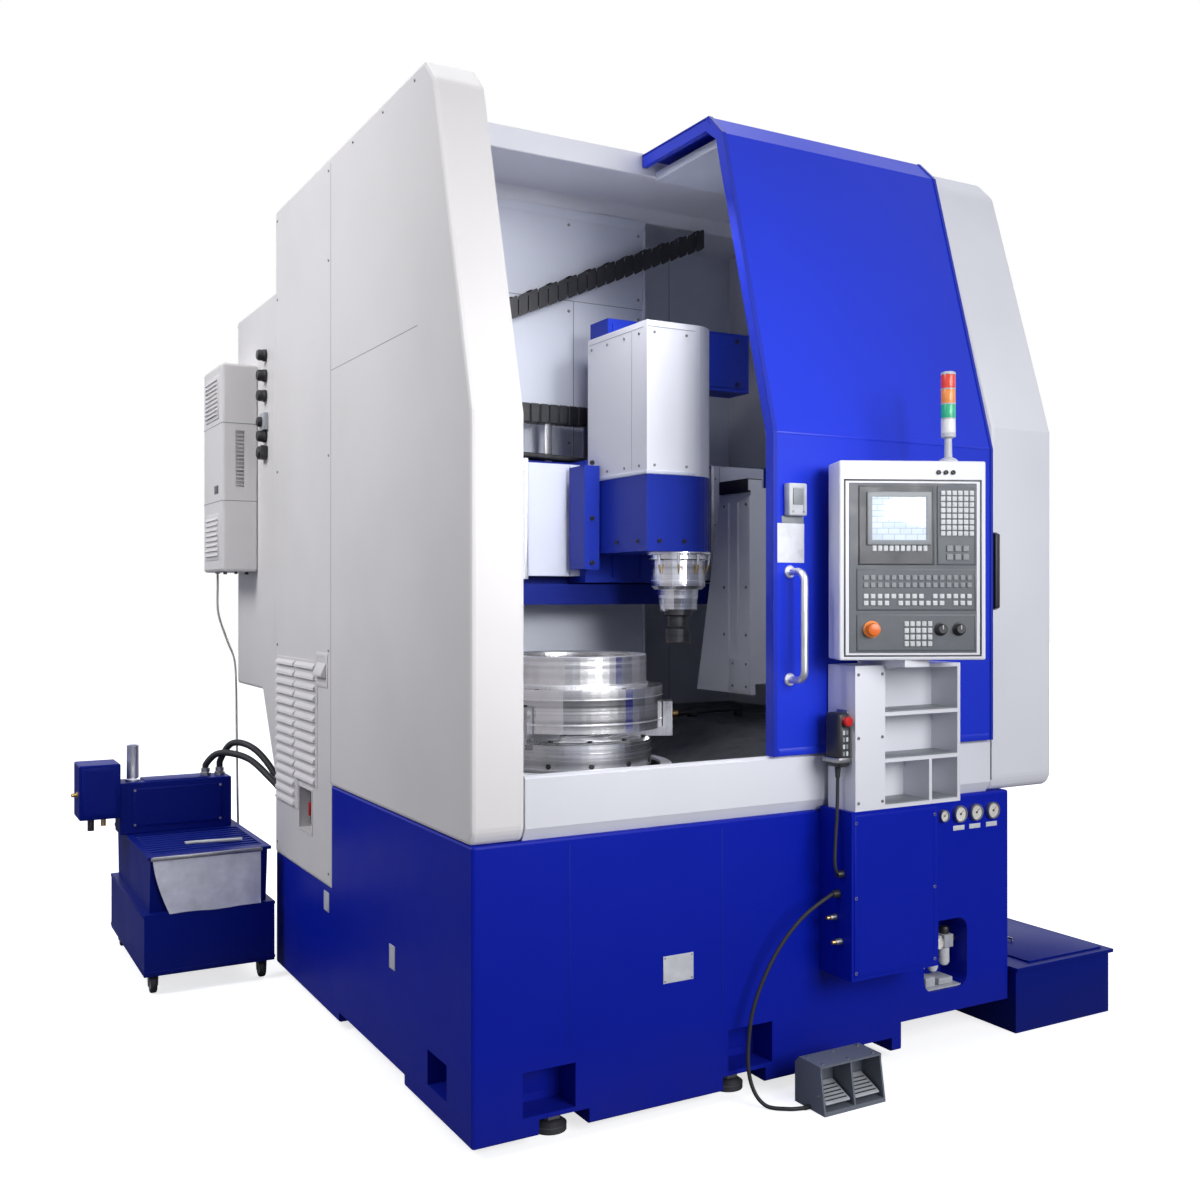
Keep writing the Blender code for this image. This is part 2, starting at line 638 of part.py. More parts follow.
def make_electrical_cabinet():
    front = BASE_DEPTH + GAP
    bottom = BASE_HEIGHT + CABINET_RISE
    outline = [(front, CABINET_TOP), (CABINET_REAR, CABINET_TOP), (CABINET_REAR, bottom),
               (front + CABINET_TAPER, bottom), (front, BASE_HEIGHT - CABINET_KNEE)]
    profile("electrical_cabinet", outline, "X", 0, CABINET_WIDTH, "white", 0.012)


def make_cooler():
    """Cooling unit on the cabinet's side: a rounded case with an air slot in its front edge."""
    front = BASE_DEPTH + COOLER_SETBACK
    top = CABINET_TOP - COOLER_DROP
    low = top - COOLER_HEIGHT
    case = box("cabinet_cooler", -COOLER_DEPTH, -GAP, front, front + COOLER_WIDTH, low, top, "white", 0.012)
    cut(case, box_shape(-0.62 * COOLER_DEPTH, -0.38 * COOLER_DEPTH, front - 0.1, front + 0.02,
                        low + 0.36, low + 0.60))


def make_louvres():
    """Louvred plate on the lower side: rows of pressed hoods in two columns. Its lower front corner is
    left out for the main switch's recess."""
    front = SIDE_FRONT + LOUVRE_SETBACK
    rear = front + LOUVRE_LENGTH
    bottom = BASE_HEIGHT - LOUVRE_DROP
    top = bottom + LOUVRE_HEIGHT
    step = BASE_HEIGHT - SWITCH_RECESS_DROP + SWITCH_RECESS_HEIGHT + LOUVRE_MARGIN
    corner = SWITCH_RECESS[1] + LOUVRE_MARGIN
    outline = [(front, step), (corner, step), (corner, bottom), (rear, bottom), (rear, top), (front, top)]
    plate = profile("louvre_panel", outline, "X", -SHEET - GAP, -GAP, "white")
    pitch = LOUVRE_HEIGHT / LOUVRE_ROWS
    middle = (front + rear) / 2
    half = LOUVRE_MARGIN / 2
    buried = -0.6 * SHEET - GAP
    for row in range(LOUVRE_ROWS):
        low = bottom + (row + 0.2) * pitch
        hood = [(buried, low + 0.6 * pitch), (buried, low), (-0.7 * LOUVRE_PROUD, low),
                (-LOUVRE_PROUD, low + 0.03 * pitch), (-0.9 * LOUVRE_PROUD, low + 0.25 * pitch)]
        join(plate, profile_shape(hood, "Y", middle + half, rear - LOUVRE_MARGIN))
        if low > step:
            join(plate, profile_shape(hood, "Y", front + LOUVRE_MARGIN, middle - half))


def make_chip_pan():
    """Floor of the chamber, with a round well for the chuck and a raised shelf under the magazine."""
    shelf = PAN_TOP + 0.09
    front = SILL_DEPTH + GAP
    outline = [(INNER_LEFT, BASE_HEIGHT), (INNER_LEFT, PAN_TOP), (CHUCK_X + JAW_OUTER, PAN_TOP),
               (BAY_LEFT, shelf), (INNER_RIGHT, shelf), (INNER_RIGHT, BASE_HEIGHT)]
    pan = profile("chip_pan", outline, "Y", front, REAR_WALL - GAP, "iron")
    join(pan, box_shape(BAY_LEFT + GAP, INNER_RIGHT, REAR_WALL - 0.05, BAY_WALL - GAP, BASE_HEIGHT, shelf))
    well = CHUCK_RADIUS + PAN_CLEARANCE
    cut(pan, turned_shape([(0, BASE_HEIGHT - 0.1), (well, BASE_HEIGHT - 0.1), (well, PAN_TOP + 0.1),
                           (0, PAN_TOP + 0.1)], (CHUCK_X, CHUCK_Y)))


def make_magazine_guard():
    """Guard of the tool magazine: a side sheet that leans clear of the rail, a front sheet that is
    fixed to the right column, and the black rail along the top."""
    left = INNER_RIGHT - GUARD_INSET
    low = PAN_TOP + GUARD_RISE
    high = low + GUARD_HEIGHT
    rear = RAIL_FRONT - GUARD_SETBACK
    front = rear - GUARD_FOOT
    outline = [(rear, low), (rear - GUARD_LEAN, high), (front, high), (front, low)]
    guard = profile("magazine_guard", outline, "X", left, left + GUARD_THICKNESS, "grey")
    join(guard, box_shape(left + GUARD_THICKNESS / 2, INNER_RIGHT, front, front + GUARD_THICKNESS,
                          low + GUARD_NOTCH, high))
    join(guard, box_shape(left - 0.01, left + 0.05, front, rear - GUARD_LEAN, high - 0.01, high + 0.03))


def make_cable_duct():
    """Black duct that climbs across the rear wall."""
    depth, height = DUCT_SIZE
    start, end = INNER_LEFT + GAP, BAY_LEFT + 0.265
    low = ROOF_UNDERSIDE - 0.70
    slope = 0.438
    outline = [(start, low), (start, low + height), (end, low + height + slope * (end - start)),
               (end, low + slope * (end - start))]
    profile("cable_duct", outline, "Y", REAR_WALL - GAP - depth, REAR_WALL - GAP, "black")


# Cross rail, saddle and head

def make_cross_rail():
    """Cast rail across the chamber, with the end plate of its covers and two linear guides."""
    rear = REAR_WALL - GAP
    outline = [(RAIL_FRONT - RAIL_LIP_REACH, RAIL_BOTTOM), (RAIL_FRONT - RAIL_LIP_REACH, RAIL_LIP_TOP),
               (RAIL_FRONT, RAIL_LIP_TOP), (RAIL_FRONT, RAIL_TOP), (rear, RAIL_TOP), (rear, RAIL_BOTTOM)]
    rail = profile("cross_rail", outline, "X", INNER_LEFT, RAIL_RIGHT, "blue")
    guide_front = SADDLE_REAR + GAP
    for rise in GUIDE_RISES:
        low = RAIL_BOTTOM + rise
        join(rail, box_shape(INNER_LEFT, RAIL_RIGHT - END_PLATE / 2, guide_front, RAIL_FRONT + 0.01,
                             low, low + GUIDE_WIDTH))
    join(rail, box_shape(RAIL_RIGHT - END_PLATE, RAIL_RIGHT, COVER_FRONT, RAIL_FRONT + 0.01,
                         RAIL_LIP_TOP - 0.01, RAIL_TOP + 0.01))


def cover_section(name, x0, x1, level):
    """One section of a telescopic way cover: a channel open at both ends and towards the rail."""
    inset = level * COVER_STEP
    front = COVER_FRONT + inset
    low, high = RAIL_LIP_TOP + RUNNING_GAP + inset, RAIL_TOP + RUNNING_GAP - inset
    rear = RAIL_FRONT - GAP
    outline = [(rear, low), (front, low), (front, high), (rear, high), (rear, high - SHEET),
               (front + SHEET, high - SHEET), (front + SHEET, low + SHEET), (rear, low + SHEET)]
    profile(name, outline, "X", x0, x1, "white")


def make_way_covers():
    """Three sections on each side of the saddle, spread evenly: the outer one stays on the end of the
    rail, the inner one goes with the saddle and the middle one travels half as far."""
    wall_right = RAIL_RIGHT - END_PLATE - GAP
    spread_left = SADDLE_LEFT - GAP - LEFT_COVER_LENGTH - INNER_LEFT
    spread_right = wall_right - RIGHT_COVER_LENGTH - (SADDLE_RIGHT + GAP)
    for number in range(3):
        share = number / 2
        x0 = INNER_LEFT + share * spread_left
        cover_section(f"left_way_cover_{number + 1}", x0, x0 + LEFT_COVER_LENGTH, number)
        x0 = wall_right - RIGHT_COVER_LENGTH - share * spread_right
        cover_section(f"right_way_cover_{number + 1}", x0, x0 + RIGHT_COVER_LENGTH, number)


def make_saddle():
    """Slide on the cross rail: a wide foot, a column with an arm to the right, the head's two vertical
    guides and a shoe in front of the way cover, beside the head."""
    column_left = SADDLE_LEFT + SADDLE_COLUMN_INSET
    foot_top = SADDLE_BOTTOM + SADDLE_FOOT_HEIGHT
    arm_right = SADDLE_RIGHT + SADDLE_ARM[0]
    arm_bottom = SADDLE_TOP - SADDLE_ARM[1]
    outline = [(SADDLE_LEFT, SADDLE_BOTTOM), (SADDLE_RIGHT, SADDLE_BOTTOM), (SADDLE_RIGHT, arm_bottom),
               (arm_right, arm_bottom), (arm_right, SADDLE_TOP), (column_left, SADDLE_TOP),
               (column_left, foot_top), (SADDLE_LEFT, foot_top)]
    saddle = profile("saddle", outline, "Y", SADDLE_FRONT, SADDLE_REAR, "blue")
    shoe_left = SADDLE_LEFT - SHOE_SIZE[0]
    shoe_right = SPINDLE_X + HEAD_NOSE_MARGIN - HEAD_WIDTH - RUNNING_GAP
    shoe_front = SADDLE_FRONT - SHOE_SIZE[1]
    shoe_rear = COVER_FRONT - RUNNING_GAP
    seat = SADDLE_FRONT + RUNNING_GAP / 6
    plan = [(shoe_left, shoe_front), (shoe_right, shoe_front), (shoe_right, seat), (shoe_right + 0.04, seat),
            (shoe_right + 0.04, shoe_rear), (shoe_left, shoe_rear)]
    join(saddle, profile_shape(plan, "Z", SADDLE_BOTTOM + SHOE_RISE, SADDLE_BOTTOM + SHOE_RISE + SHOE_HEIGHT))
    middle = SPINDLE_X + HEAD_NOSE_MARGIN - HEAD_WIDTH / 2 + GUIDE_SHIFT
    for x in (middle - GUIDE_SPREAD / 2, middle + GUIDE_SPREAD / 2):
        join(saddle, box_shape(x - GUIDE_WIDTH / 2, x + GUIDE_WIDTH / 2, SADDLE_FRONT - RUNNING_GAP + GAP,
                               SADDLE_FRONT + 0.01, SADDLE_BOTTOM + 0.02, SADDLE_TOP - 0.02))


def head_plan():
    """Plan of the milling head: a box whose front right corner is rounded about the spindle."""
    right = SPINDLE_X + HEAD_NOSE_MARGIN
    left = right - HEAD_WIDTH
    front = SPINDLE_Y - HEAD_NOSE_MARGIN
    rear = SADDLE_FRONT - RUNNING_GAP
    corner = []
    for step in range(9):
        angle = math.radians(-90 + 90 * step / 8)
        corner.append((SPINDLE_X + HEAD_NOSE_MARGIN * math.cos(angle),
                       SPINDLE_Y + HEAD_NOSE_MARGIN * math.sin(angle)))
    return [(left, rear), (left, front), *corner, (right, rear)]


def make_head():
    """Head with its cover above and its housing below, the spindle's nose and a tool holder."""
    profile("head_cover", head_plan(), "Z", HEAD_SPLIT + GAP, HEAD_TOP, "white")
    profile("head_housing", head_plan(), "Z", HEAD_BOTTOM, HEAD_SPLIT, "blue")
    axis = (SPINDLE_X, SPINDLE_Y)
    origin = (*axis, HEAD_BOTTOM)
    top = HEAD_BOTTOM - GAP
    step = top - NOSE_HEIGHT
    end = step - QUILL_HEIGHT
    turned("spindle_nose", [(0, top), (NOSE_RADIUS, top), (NOSE_RADIUS, top - 0.024),
           (NOSE_RADIUS - 0.008, top - 0.028), (NOSE_RADIUS - 0.008, step + 0.012),
           (NOSE_RADIUS - 0.02, step), (QUILL_RADIUS, step), (QUILL_RADIUS - 0.006, end), (0, end)],
           axis, "steel", origin=origin)
    grip = HOLDER_RADIUS - 0.009
    turned("tool_holder", [(0, end - GAP), (HOLDER_RADIUS + 0.005, end - GAP),
           (HOLDER_RADIUS + 0.005, end - 0.02), (grip, end - 0.026), (grip, end - 0.06),
           (HOLDER_RADIUS, end - 0.07), (HOLDER_RADIUS, end - HOLDER_LENGTH), (0, end - HOLDER_LENGTH)],
           axis, "iron", 32, origin=origin)


# Chuck

def make_chuck():
    """Chuck with three jaws that slide in its slots, and the flanged ring that they hold."""
    axis = (CHUCK_X, CHUCK_Y)
    origin = (*axis, CHUCK_TOP)
    body = turned("chuck_body", [(CHUCK_BORE, BASE_HEIGHT), (CHUCK_RADIUS, BASE_HEIGHT),
                  (CHUCK_RADIUS, CHUCK_TOP - 0.008), (CHUCK_RADIUS - 0.008, CHUCK_TOP),
                  (CHUCK_BORE, CHUCK_TOP)], axis, "steel", 64, origin=origin)
    flange_low = CHUCK_TOP + JAW_FOOT + GAP
    for number in range(3):
        turn = Matrix.Translation((*axis, 0)) @ Matrix.Rotation(math.radians(90 + 120 * number), 4, "Z")
        slot = box_shape(CHUCK_BORE - 0.02, CHUCK_RADIUS + 0.05, -SLOT_WIDTH / 2, SLOT_WIDTH / 2,
                         CHUCK_TOP - SLOT_DEPTH, CHUCK_TOP + 0.05)
        bmesh.ops.transform(slot, matrix=turn, verts=slot.verts)
        cut(body, slot)
        hook = FLANGE_RADIUS + GAP
        outline = [(JAW_INNER, CHUCK_TOP + GAP), (JAW_OUTER, CHUCK_TOP + GAP),
                   (JAW_OUTER, CHUCK_TOP + JAW_HEIGHT), (hook, CHUCK_TOP + JAW_HEIGHT),
                   (hook, CHUCK_TOP + JAW_FOOT), (JAW_INNER, CHUCK_TOP + JAW_FOOT)]
        shape = profile_shape(outline, "Y", -JAW_WIDTH / 2, JAW_WIDTH / 2)
        bmesh.ops.transform(shape, matrix=turn, verts=shape.verts)
        jaw = add_object(f"chuck_jaw_{number + 1}", shape, "steel", origin)
        tongue = box_shape(JAW_INNER + 0.01, CHUCK_RADIUS - 0.01, GAP - SLOT_WIDTH / 2,
                           SLOT_WIDTH / 2 - GAP, CHUCK_TOP - SLOT_DEPTH + GAP, CHUCK_TOP + 0.01)
        bmesh.ops.transform(tongue, matrix=turn, verts=tongue.verts)
        join(jaw, tongue)
    shoulder = flange_low + FLANGE_HEIGHT
    top = shoulder + RING_HEIGHT
    turned("clamped_ring", [(RING_BORE, flange_low), (FLANGE_RADIUS, flange_low),
           (FLANGE_RADIUS, shoulder), (RING_RADIUS, shoulder), (RING_RADIUS, top), (RING_BORE, top)],
           axis, "steel", 64, origin=origin)


# Guard door

def make_door():
    """Front sheet with its lean and its roof, drawn from the side and extruded along the door's travel,
    and stiffened by a stile along each side edge."""
    bottom = SILL_TOP + RUNNING_GAP
    outer = leaning_line(-DOOR_PROUD, DOOR_TOP - TOP_CHAMFER)
    inner = leaning_line(DOOR_SKIN - DOOR_PROUD, DOOR_TOP - TOP_CHAMFER - 0.4 * DOOR_SKIN)
    ridge = outer[1][0] + TOP_CHAMFER
    underside = DOOR_TOP - DOOR_SKIN
    outline = [(outer[0][0], bottom), *outer, (ridge, DOOR_TOP), (DOOR_ROOF_DEPTH, DOOR_TOP),
               (DOOR_ROOF_DEPTH, underside), (ridge + 0.4 * DOOR_SKIN, underside), *reversed(inner),
               (inner[0][0], bottom)]
    door = profile("door_panel", outline, "X", DOOR_LEFT, DOOR_RIGHT, "blue")
    buried = 0.002
    back = DOOR_THICKNESS - DOOR_PROUD - RUNNING_GAP
    near = leaning_line(DOOR_SKIN - DOOR_PROUD - buried, DOOR_TOP - TOP_CHAMFER)
    far = leaning_line(back, DOOR_TOP - TOP_CHAMFER - 0.01)
    stile = [(near[0][0], bottom), *near, (ridge + 0.01, underside + buried),
             (DOOR_ROOF_DEPTH, underside + buried), (DOOR_ROOF_DEPTH, DOOR_TOP - DOOR_LIP),
             (ridge + 0.02, DOOR_TOP - DOOR_LIP), *reversed(far), (far[0][0], bottom)]
    for x in (DOOR_LEFT, DOOR_RIGHT - DOOR_STILE):
        join(door, profile_shape(stile, "X", x, x + DOOR_STILE))


def make_door_fittings():
    """Bow handle on the door's leading edge and the door switch above it."""
    front = -DOOR_PROUD
    bow_y = front - HANDLE_REACH
    x = DOOR_LEFT + HANDLE_INSET
    low = BASE_HEIGHT + HANDLE_RISE
    high = low + HANDLE_LENGTH
    handle = bar("door_handle", (x, bow_y, low), (x, bow_y, high), HANDLE_RADIUS, "steel")
    for z in (low + 1.2 * HANDLE_RADIUS, high - 1.2 * HANDLE_RADIUS):
        join(handle, bar_shape((x, front - GAP, z), (x, bow_y, z), 0.95 * HANDLE_RADIUS))
    width, depth, height = LATCH_SIZE
    low = BASE_HEIGHT + LATCH_RISE
    left = DOOR_LEFT + LATCH_INSET
    box("door_switch", left, left + width, front - depth, front - GAP, low, low + height, "grey", 0.004)


# Operator's stand, console and foot switch

def make_stand():
    """Shelf cabinet with open bays and the console's arm, the duct box under it and the pendant."""
    front = -STAND_DEPTH
    stand = box("shelf_cabinet", STAND_LEFT, STAND_RIGHT, front, STAND_REAR, STAND_BOTTOM, STAND_TOP, "white")
    left = STAND_LEFT + BAY_OFFSET
    right = STAND_RIGHT - STAND_SHEET
    lows = [STAND_BOTTOM + STAND_SHEET, STAND_BOTTOM + BAY_HEIGHTS[0], STAND_BOTTOM + sum(BAY_HEIGHTS)]
    highs = [low - STAND_SHEET for low in lows[1:]] + [STAND_TOP - STAND_SHEET]
    division = left + BAY_DIVISION
    spans = [(left, division, lows[0], highs[0]), (division + STAND_SHEET, right, lows[0], highs[0]),
             (left, right, lows[1], highs[1]), (left, right, lows[2], highs[2])]
    for x0, x1, low, high in spans:
        cut(stand, box_shape(x0, x1, front - 0.05, STAND_REAR - STAND_SHEET, low, high))
    join(stand, box_shape(CONSOLE_X - ARM_HALF_WIDTH, CONSOLE_X + ARM_HALF_WIDTH,
                          CONSOLE_Y - ARM_HALF_WIDTH, STAND_REAR - 0.01, STAND_TOP - 0.002,
                          CONSOLE_BOTTOM - GAP))
    top = STAND_BOTTOM - GAP
    shoulder = BASE_HEIGHT - 0.012
    side = [(front, top - BOX_HEIGHT), (front, top), (-GAP, top), (-GAP, shoulder),
            (BASE_INSET - GAP, shoulder), (BASE_INSET - GAP, top - BOX_HEIGHT)]
    profile("duct_box", side, "X", BOX_LEFT, BOX_LEFT + BOX_WIDTH, "blue")
    width, depth, height = PENDANT_SIZE
    low = STAND_BOTTOM + PENDANT_RISE
    face = STAND_LEFT - GAP
    box("pendant", face - width, face, front + PENDANT_SETBACK, front + PENDANT_SETBACK + depth,
        low, low + height, "black", 0.008)


def console_place():
    """The console's own frame: its pivot is the origin and its screen faces -Y."""
    return Matrix.Translation((CONSOLE_X, CONSOLE_Y, 0)) @ Matrix.Rotation(CONSOLE_TURN, 4, "Z")


def console_box_shape(x0, x1, y0, y1, z0, z1):
    shape = box_shape(x0, x1, y0, y1, z0, z1)
    bmesh.ops.transform(shape, matrix=console_place(), verts=shape.verts)
    return shape


def make_console():
    """Console turned towards the opening, with its recessed panel and a signal tower on top."""
    origin = (CONSOLE_X, CONSOLE_Y, CONSOLE_BOTTOM)
    half = CONSOLE_WIDTH / 2
    front = -CONSOLE_FORWARD
    housing = add_object("console_housing", console_box_shape(-half, half, front, front + CONSOLE_DEPTH,
                         CONSOLE_BOTTOM, CONSOLE_TOP), "white", origin)
    round_edges(housing, 0.006)
    reach = half - PANEL_MARGIN
    low, high = CONSOLE_BOTTOM + PANEL_FOOT, CONSOLE_TOP - PANEL_HEAD
    cut(housing, console_box_shape(-reach, reach, front - 0.05, front + PANEL_RECESS, low, high))
    add_object("console_panel", console_box_shape(GAP - reach, reach - GAP, front - 0.002,
               front + PANEL_RECESS - GAP, low + GAP, high - GAP), "panel", origin)
    spot = console_place() @ Vector((half - 0.095, front + CONSOLE_DEPTH / 2, 0))
    z = CONSOLE_TOP + GAP
    top = z + TOWER_HEIGHT
    turned("signal_tower", [(0, z), (1.3 * TOWER_RADIUS, z), (1.3 * TOWER_RADIUS, z + 0.012),
           (0.011, z + 0.02), (0.011, z + 0.075), (TOWER_RADIUS, z + 0.08), (TOWER_RADIUS, top - 0.01),
           (0.7 * TOWER_RADIUS, top), (0, top)], (spot.x, spot.y), "lamp", 32, origin=origin)


def make_foot_switch():
    """Twin foot switch: a guarded housing with two bays."""
    right = PEDAL_LEFT + PEDAL_WIDTH
    rear = PEDAL_FRONT + PEDAL_DEPTH
    top = FLOOR + PEDAL_HEIGHT
    side = [(PEDAL_FRONT, FLOOR), (rear, FLOOR), (rear, top - 0.02), (rear - 0.02, top),
            (PEDAL_FRONT + 0.02, top), (PEDAL_FRONT + 0.02, top - 0.02)]
    guard = profile("foot_switch", side, "X", PEDAL_LEFT, right, "grey")
    middle = (PEDAL_LEFT + right) / 2
    for x0, x1 in ((PEDAL_LEFT + PEDAL_WALL, middle - PEDAL_WALL / 2),
                   (middle + PEDAL_WALL / 2, right - PEDAL_WALL)):
        cut(guard, box_shape(x0, x1, PEDAL_FRONT - 0.05, rear - 0.04, FLOOR + PEDAL_FLOOR, top - PEDAL_WALL))


# Coolant tank and filter cart

def make_tank():
    """Low coolant tank with a lid that overhangs its walls a little."""
    left = BASE_WIDTH + TANK_CLEARANCE
    right = left + TANK_WIDTH
    rear = TANK_FRONT + TANK_LENGTH
    top = FLOOR + TANK_HEIGHT
    tank = box("coolant_tank", left + TANK_RIM / 2, right - TANK_RIM, TANK_FRONT + TANK_RIM, rear - TANK_RIM,
               FLOOR, top - 0.01, "blue")
    join(tank, box_shape(left, right, TANK_FRONT, rear, top - TANK_RIM, top))


def make_cart():
    """Filter cart: a tank on casters, a tapered trough over it, and a filter box with its pump."""
    cart = box("cart_tank", CART_LEFT, CART_RIGHT, CART_FRONT, CART_REAR, CART_FLOOR, CART_SHOULDER, "blue")
    left, right = CART_LEFT + CART_TROUGH_INSET, CART_RIGHT - CART_TROUGH_INSET
    taper = CART_TROUGH_TAPER
    low = CART_SHOULDER - 0.005
    side = [(CART_FRONT + taper, low), (CART_FRONT + CART_RIM, CART_TOP - 0.001),
            (CART_REAR - CART_RIM, CART_TOP - 0.001), (CART_REAR - taper, low)]
    join(cart, profile_shape(side, "X", left, right))
    join(cart, box_shape(left - CART_RIM, right + CART_RIM, CART_FRONT, CART_REAR, CART_TOP - CART_RIM,
                         CART_TOP))
    cut(cart, box_shape(left + CART_RIM, right - CART_RIM, CART_FRONT + taper + CART_RIM,
                        FILTER_FRONT - 0.03, CART_TOP - 0.12, CART_TOP + 0.1))
    filter_left, filter_right = CART_LEFT - 0.01, CART_RIGHT - FILTER_INSET
    filter_rear = FILTER_FRONT + FILTER_DEPTH
    filter_box = box("cart_filter_box", filter_left, filter_right, FILTER_FRONT, filter_rear,
                     CART_TOP + GAP, FILTER_TOP, "blue", 0.004)
    pipe_x, pipe_y = filter_left + 0.06, (FILTER_FRONT + filter_rear) / 2
    join(filter_box, bar_shape((pipe_x, pipe_y, FILTER_TOP - 0.02), (pipe_x, pipe_y, FILTER_TOP + PIPE_HEIGHT),
                               PIPE_RADIUS))
    width, depth, height = PUMP_SIZE
    low = CART_TOP + PUMP_RISE
    box("cart_pump_box", filter_left - GAP - width, filter_left - GAP, pipe_y - depth / 2, pipe_y + depth / 2,
        low, low + height, "blue", 0.006)
    left, right = CART_LEFT + PAPER_INSET[0], CART_RIGHT - PAPER_INSET[1]
    low, high = CART_TOP - PAPER_DROP, CART_TOP
    paper = [(left, high), (left + 0.012, low + 0.11), (left + 0.035, low + 0.04), (left + 0.062, low),
             (right, low + 0.004), (right, high)]
    profile("filter_paper", paper, "Y", CART_FRONT - GAP - SHEET / 2, CART_FRONT - GAP, "pale")
    wheel_z = FLOOR + CASTER_RADIUS
    inset_x, inset_y = CASTER_INSET
    places = [(CART_LEFT + inset_x, CART_FRONT + inset_y), (CART_RIGHT - inset_x, CART_FRONT + inset_y),
              (CART_LEFT + inset_x, CART_REAR - inset_y), (CART_RIGHT - inset_x, CART_REAR - inset_y)]
    half = CASTER_WIDTH / 2
    for number, (x, y) in enumerate(places, 1):
        caster = bar(f"caster_{number}", (x - half, y, wheel_z), (x + half, y, wheel_z), CASTER_RADIUS,
                     "black")
        join(caster, box_shape(x - half - 0.004, x + half + 0.004, y - 0.018, y + 0.018, wheel_z,
                               CART_FLOOR - GAP))


# Cords and hoses

def make_cords():
    """Cables and hoses that hang or lie free. Each leaves and meets a piece square to its face."""
    side = BOX_LEFT - 2 * GAP
    floor = FLOOR + SWITCH_CORD_RADIUS + CORD_LIFT
    pedal = PEDAL_LEFT - 2 * GAP
    cord("switch_cord", [(side, -0.088, 0.575), (side - 0.025, -0.088, 0.575), (1.06, -0.075, 0.51),
                         (0.97, -0.06, 0.405), (0.90, -0.05, 0.26), (0.877, -0.052, 0.12),
                         (0.882, -0.066, 0.03), (0.905, -0.10, floor + 0.004), (0.95, -0.145, floor),
                         (pedal - 0.02, -0.165, floor), (pedal, -0.165, floor)], SWITCH_CORD_RADIUS, "black")
    low = STAND_BOTTOM + PENDANT_RISE - 2 * GAP
    x = STAND_LEFT - PENDANT_SIZE[0] / 2
    y = -STAND_DEPTH + PENDANT_SETBACK + PENDANT_SIZE[1] / 2
    cord("pendant_cord", [(x, y, low), (x, y, low - 0.03), (x - 0.006, y - 0.004, 0.82),
                          (x - 0.018, y - 0.010, 0.73), (x - 0.022, y - 0.014, 0.668),
                          (side - 0.016, y - 0.014, 0.64), (side, y - 0.014, 0.64)],
         PENDANT_CORD_RADIUS, "black")
    filter_y = FILTER_FRONT + FILTER_DEPTH / 2
    top = FILTER_TOP + 2 * GAP
    rear = BASE_DEPTH + 2 * GAP
    cord("cart_hose_1", [(-0.18, filter_y, top), (-0.18, filter_y, top + 0.045), (-0.13, 2.42, 0.815),
                         (-0.04, 2.30, 0.80), (0.03, 2.17, 0.72), (0.085, 2.06, 0.635),
                         (0.10, rear + 0.03, 0.625), (0.10, rear, 0.625)], HOSE_RADIUS, "black")
    cord("cart_hose_2", [(-0.12, filter_y, top), (-0.12, filter_y, top + 0.055), (-0.075, 2.42, 0.855),
                         (0.0, 2.31, 0.83), (0.07, 2.19, 0.70), (0.125, 2.07, 0.50),
                         (0.135, rear + 0.03, 0.48), (0.135, rear, 0.48)], HOSE_RADIUS, "black")
    outlet = CABINET_TOP - COOLER_DROP - COOLER_HEIGHT - 2 * GAP
    cord("drain_hose", [(-0.10, 2.60, outlet), (-0.10, 2.60, outlet - 0.06), (-0.096, 2.605, 1.42),
                        (-0.055, 2.62, 1.30), (-0.02, 2.63, 1.21), (-0.012, 2.63, 1.10),
                        (-0.014, 2.61, 0.90), (-0.017, 2.58, 0.60), (-0.017, 2.56, 0.35),
                        (-0.017, 2.55, 0.12)], DRAIN_RADIUS, "pale")


# Placing

def stand_on_floor():
    """Lifts the machine onto its pads and moves the middle of its footprint to the origin."""
    bpy.context.view_layer.update()
    low = Vector((1e9, 1e9, 1e9))
    high = -low
    for obj in bpy.context.scene.objects:
        if obj.hide_render or obj.type == "CURVE":
            continue
        for corner in obj.bound_box:
            point = obj.matrix_world @ Vector(corner)
            low = Vector(map(min, low, point))
            high = Vector(map(max, high, point))
    machine = bpy.data.objects.new("machine", None)
    bpy.context.scene.collection.objects.link(machine)
    for obj in bpy.context.scene.objects:
        if obj is not machine:
            obj.parent = machine
    machine.location = (-(low.x + high.x) / 2, -(low.y + high.y) / 2, -low.z)
    bpy.context.view_layer.update()
    print("placed by", [round(value, 6) for value in machine.location])


def main():
    clear_scene()
    make_base()
    make_left_housing()
    make_right_housing()
    make_sill()
    make_fixed_guard()
    make_roof()
    make_rear_housing()
    make_electrical_cabinet()
    make_cooler()
    make_louvres()
    make_chip_pan()
    make_magazine_guard()
    make_cable_duct()
    make_cross_rail()
    make_way_covers()
    make_saddle()
    make_head()
    make_chuck()
    make_door()
    make_door_fittings()
    make_stand()
    make_console()
    make_foot_switch()
    make_tank()
    make_cart()
    make_cords()
    stand_on_floor()


main()
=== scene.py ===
import math

import bpy
from mathutils import Matrix, Vector


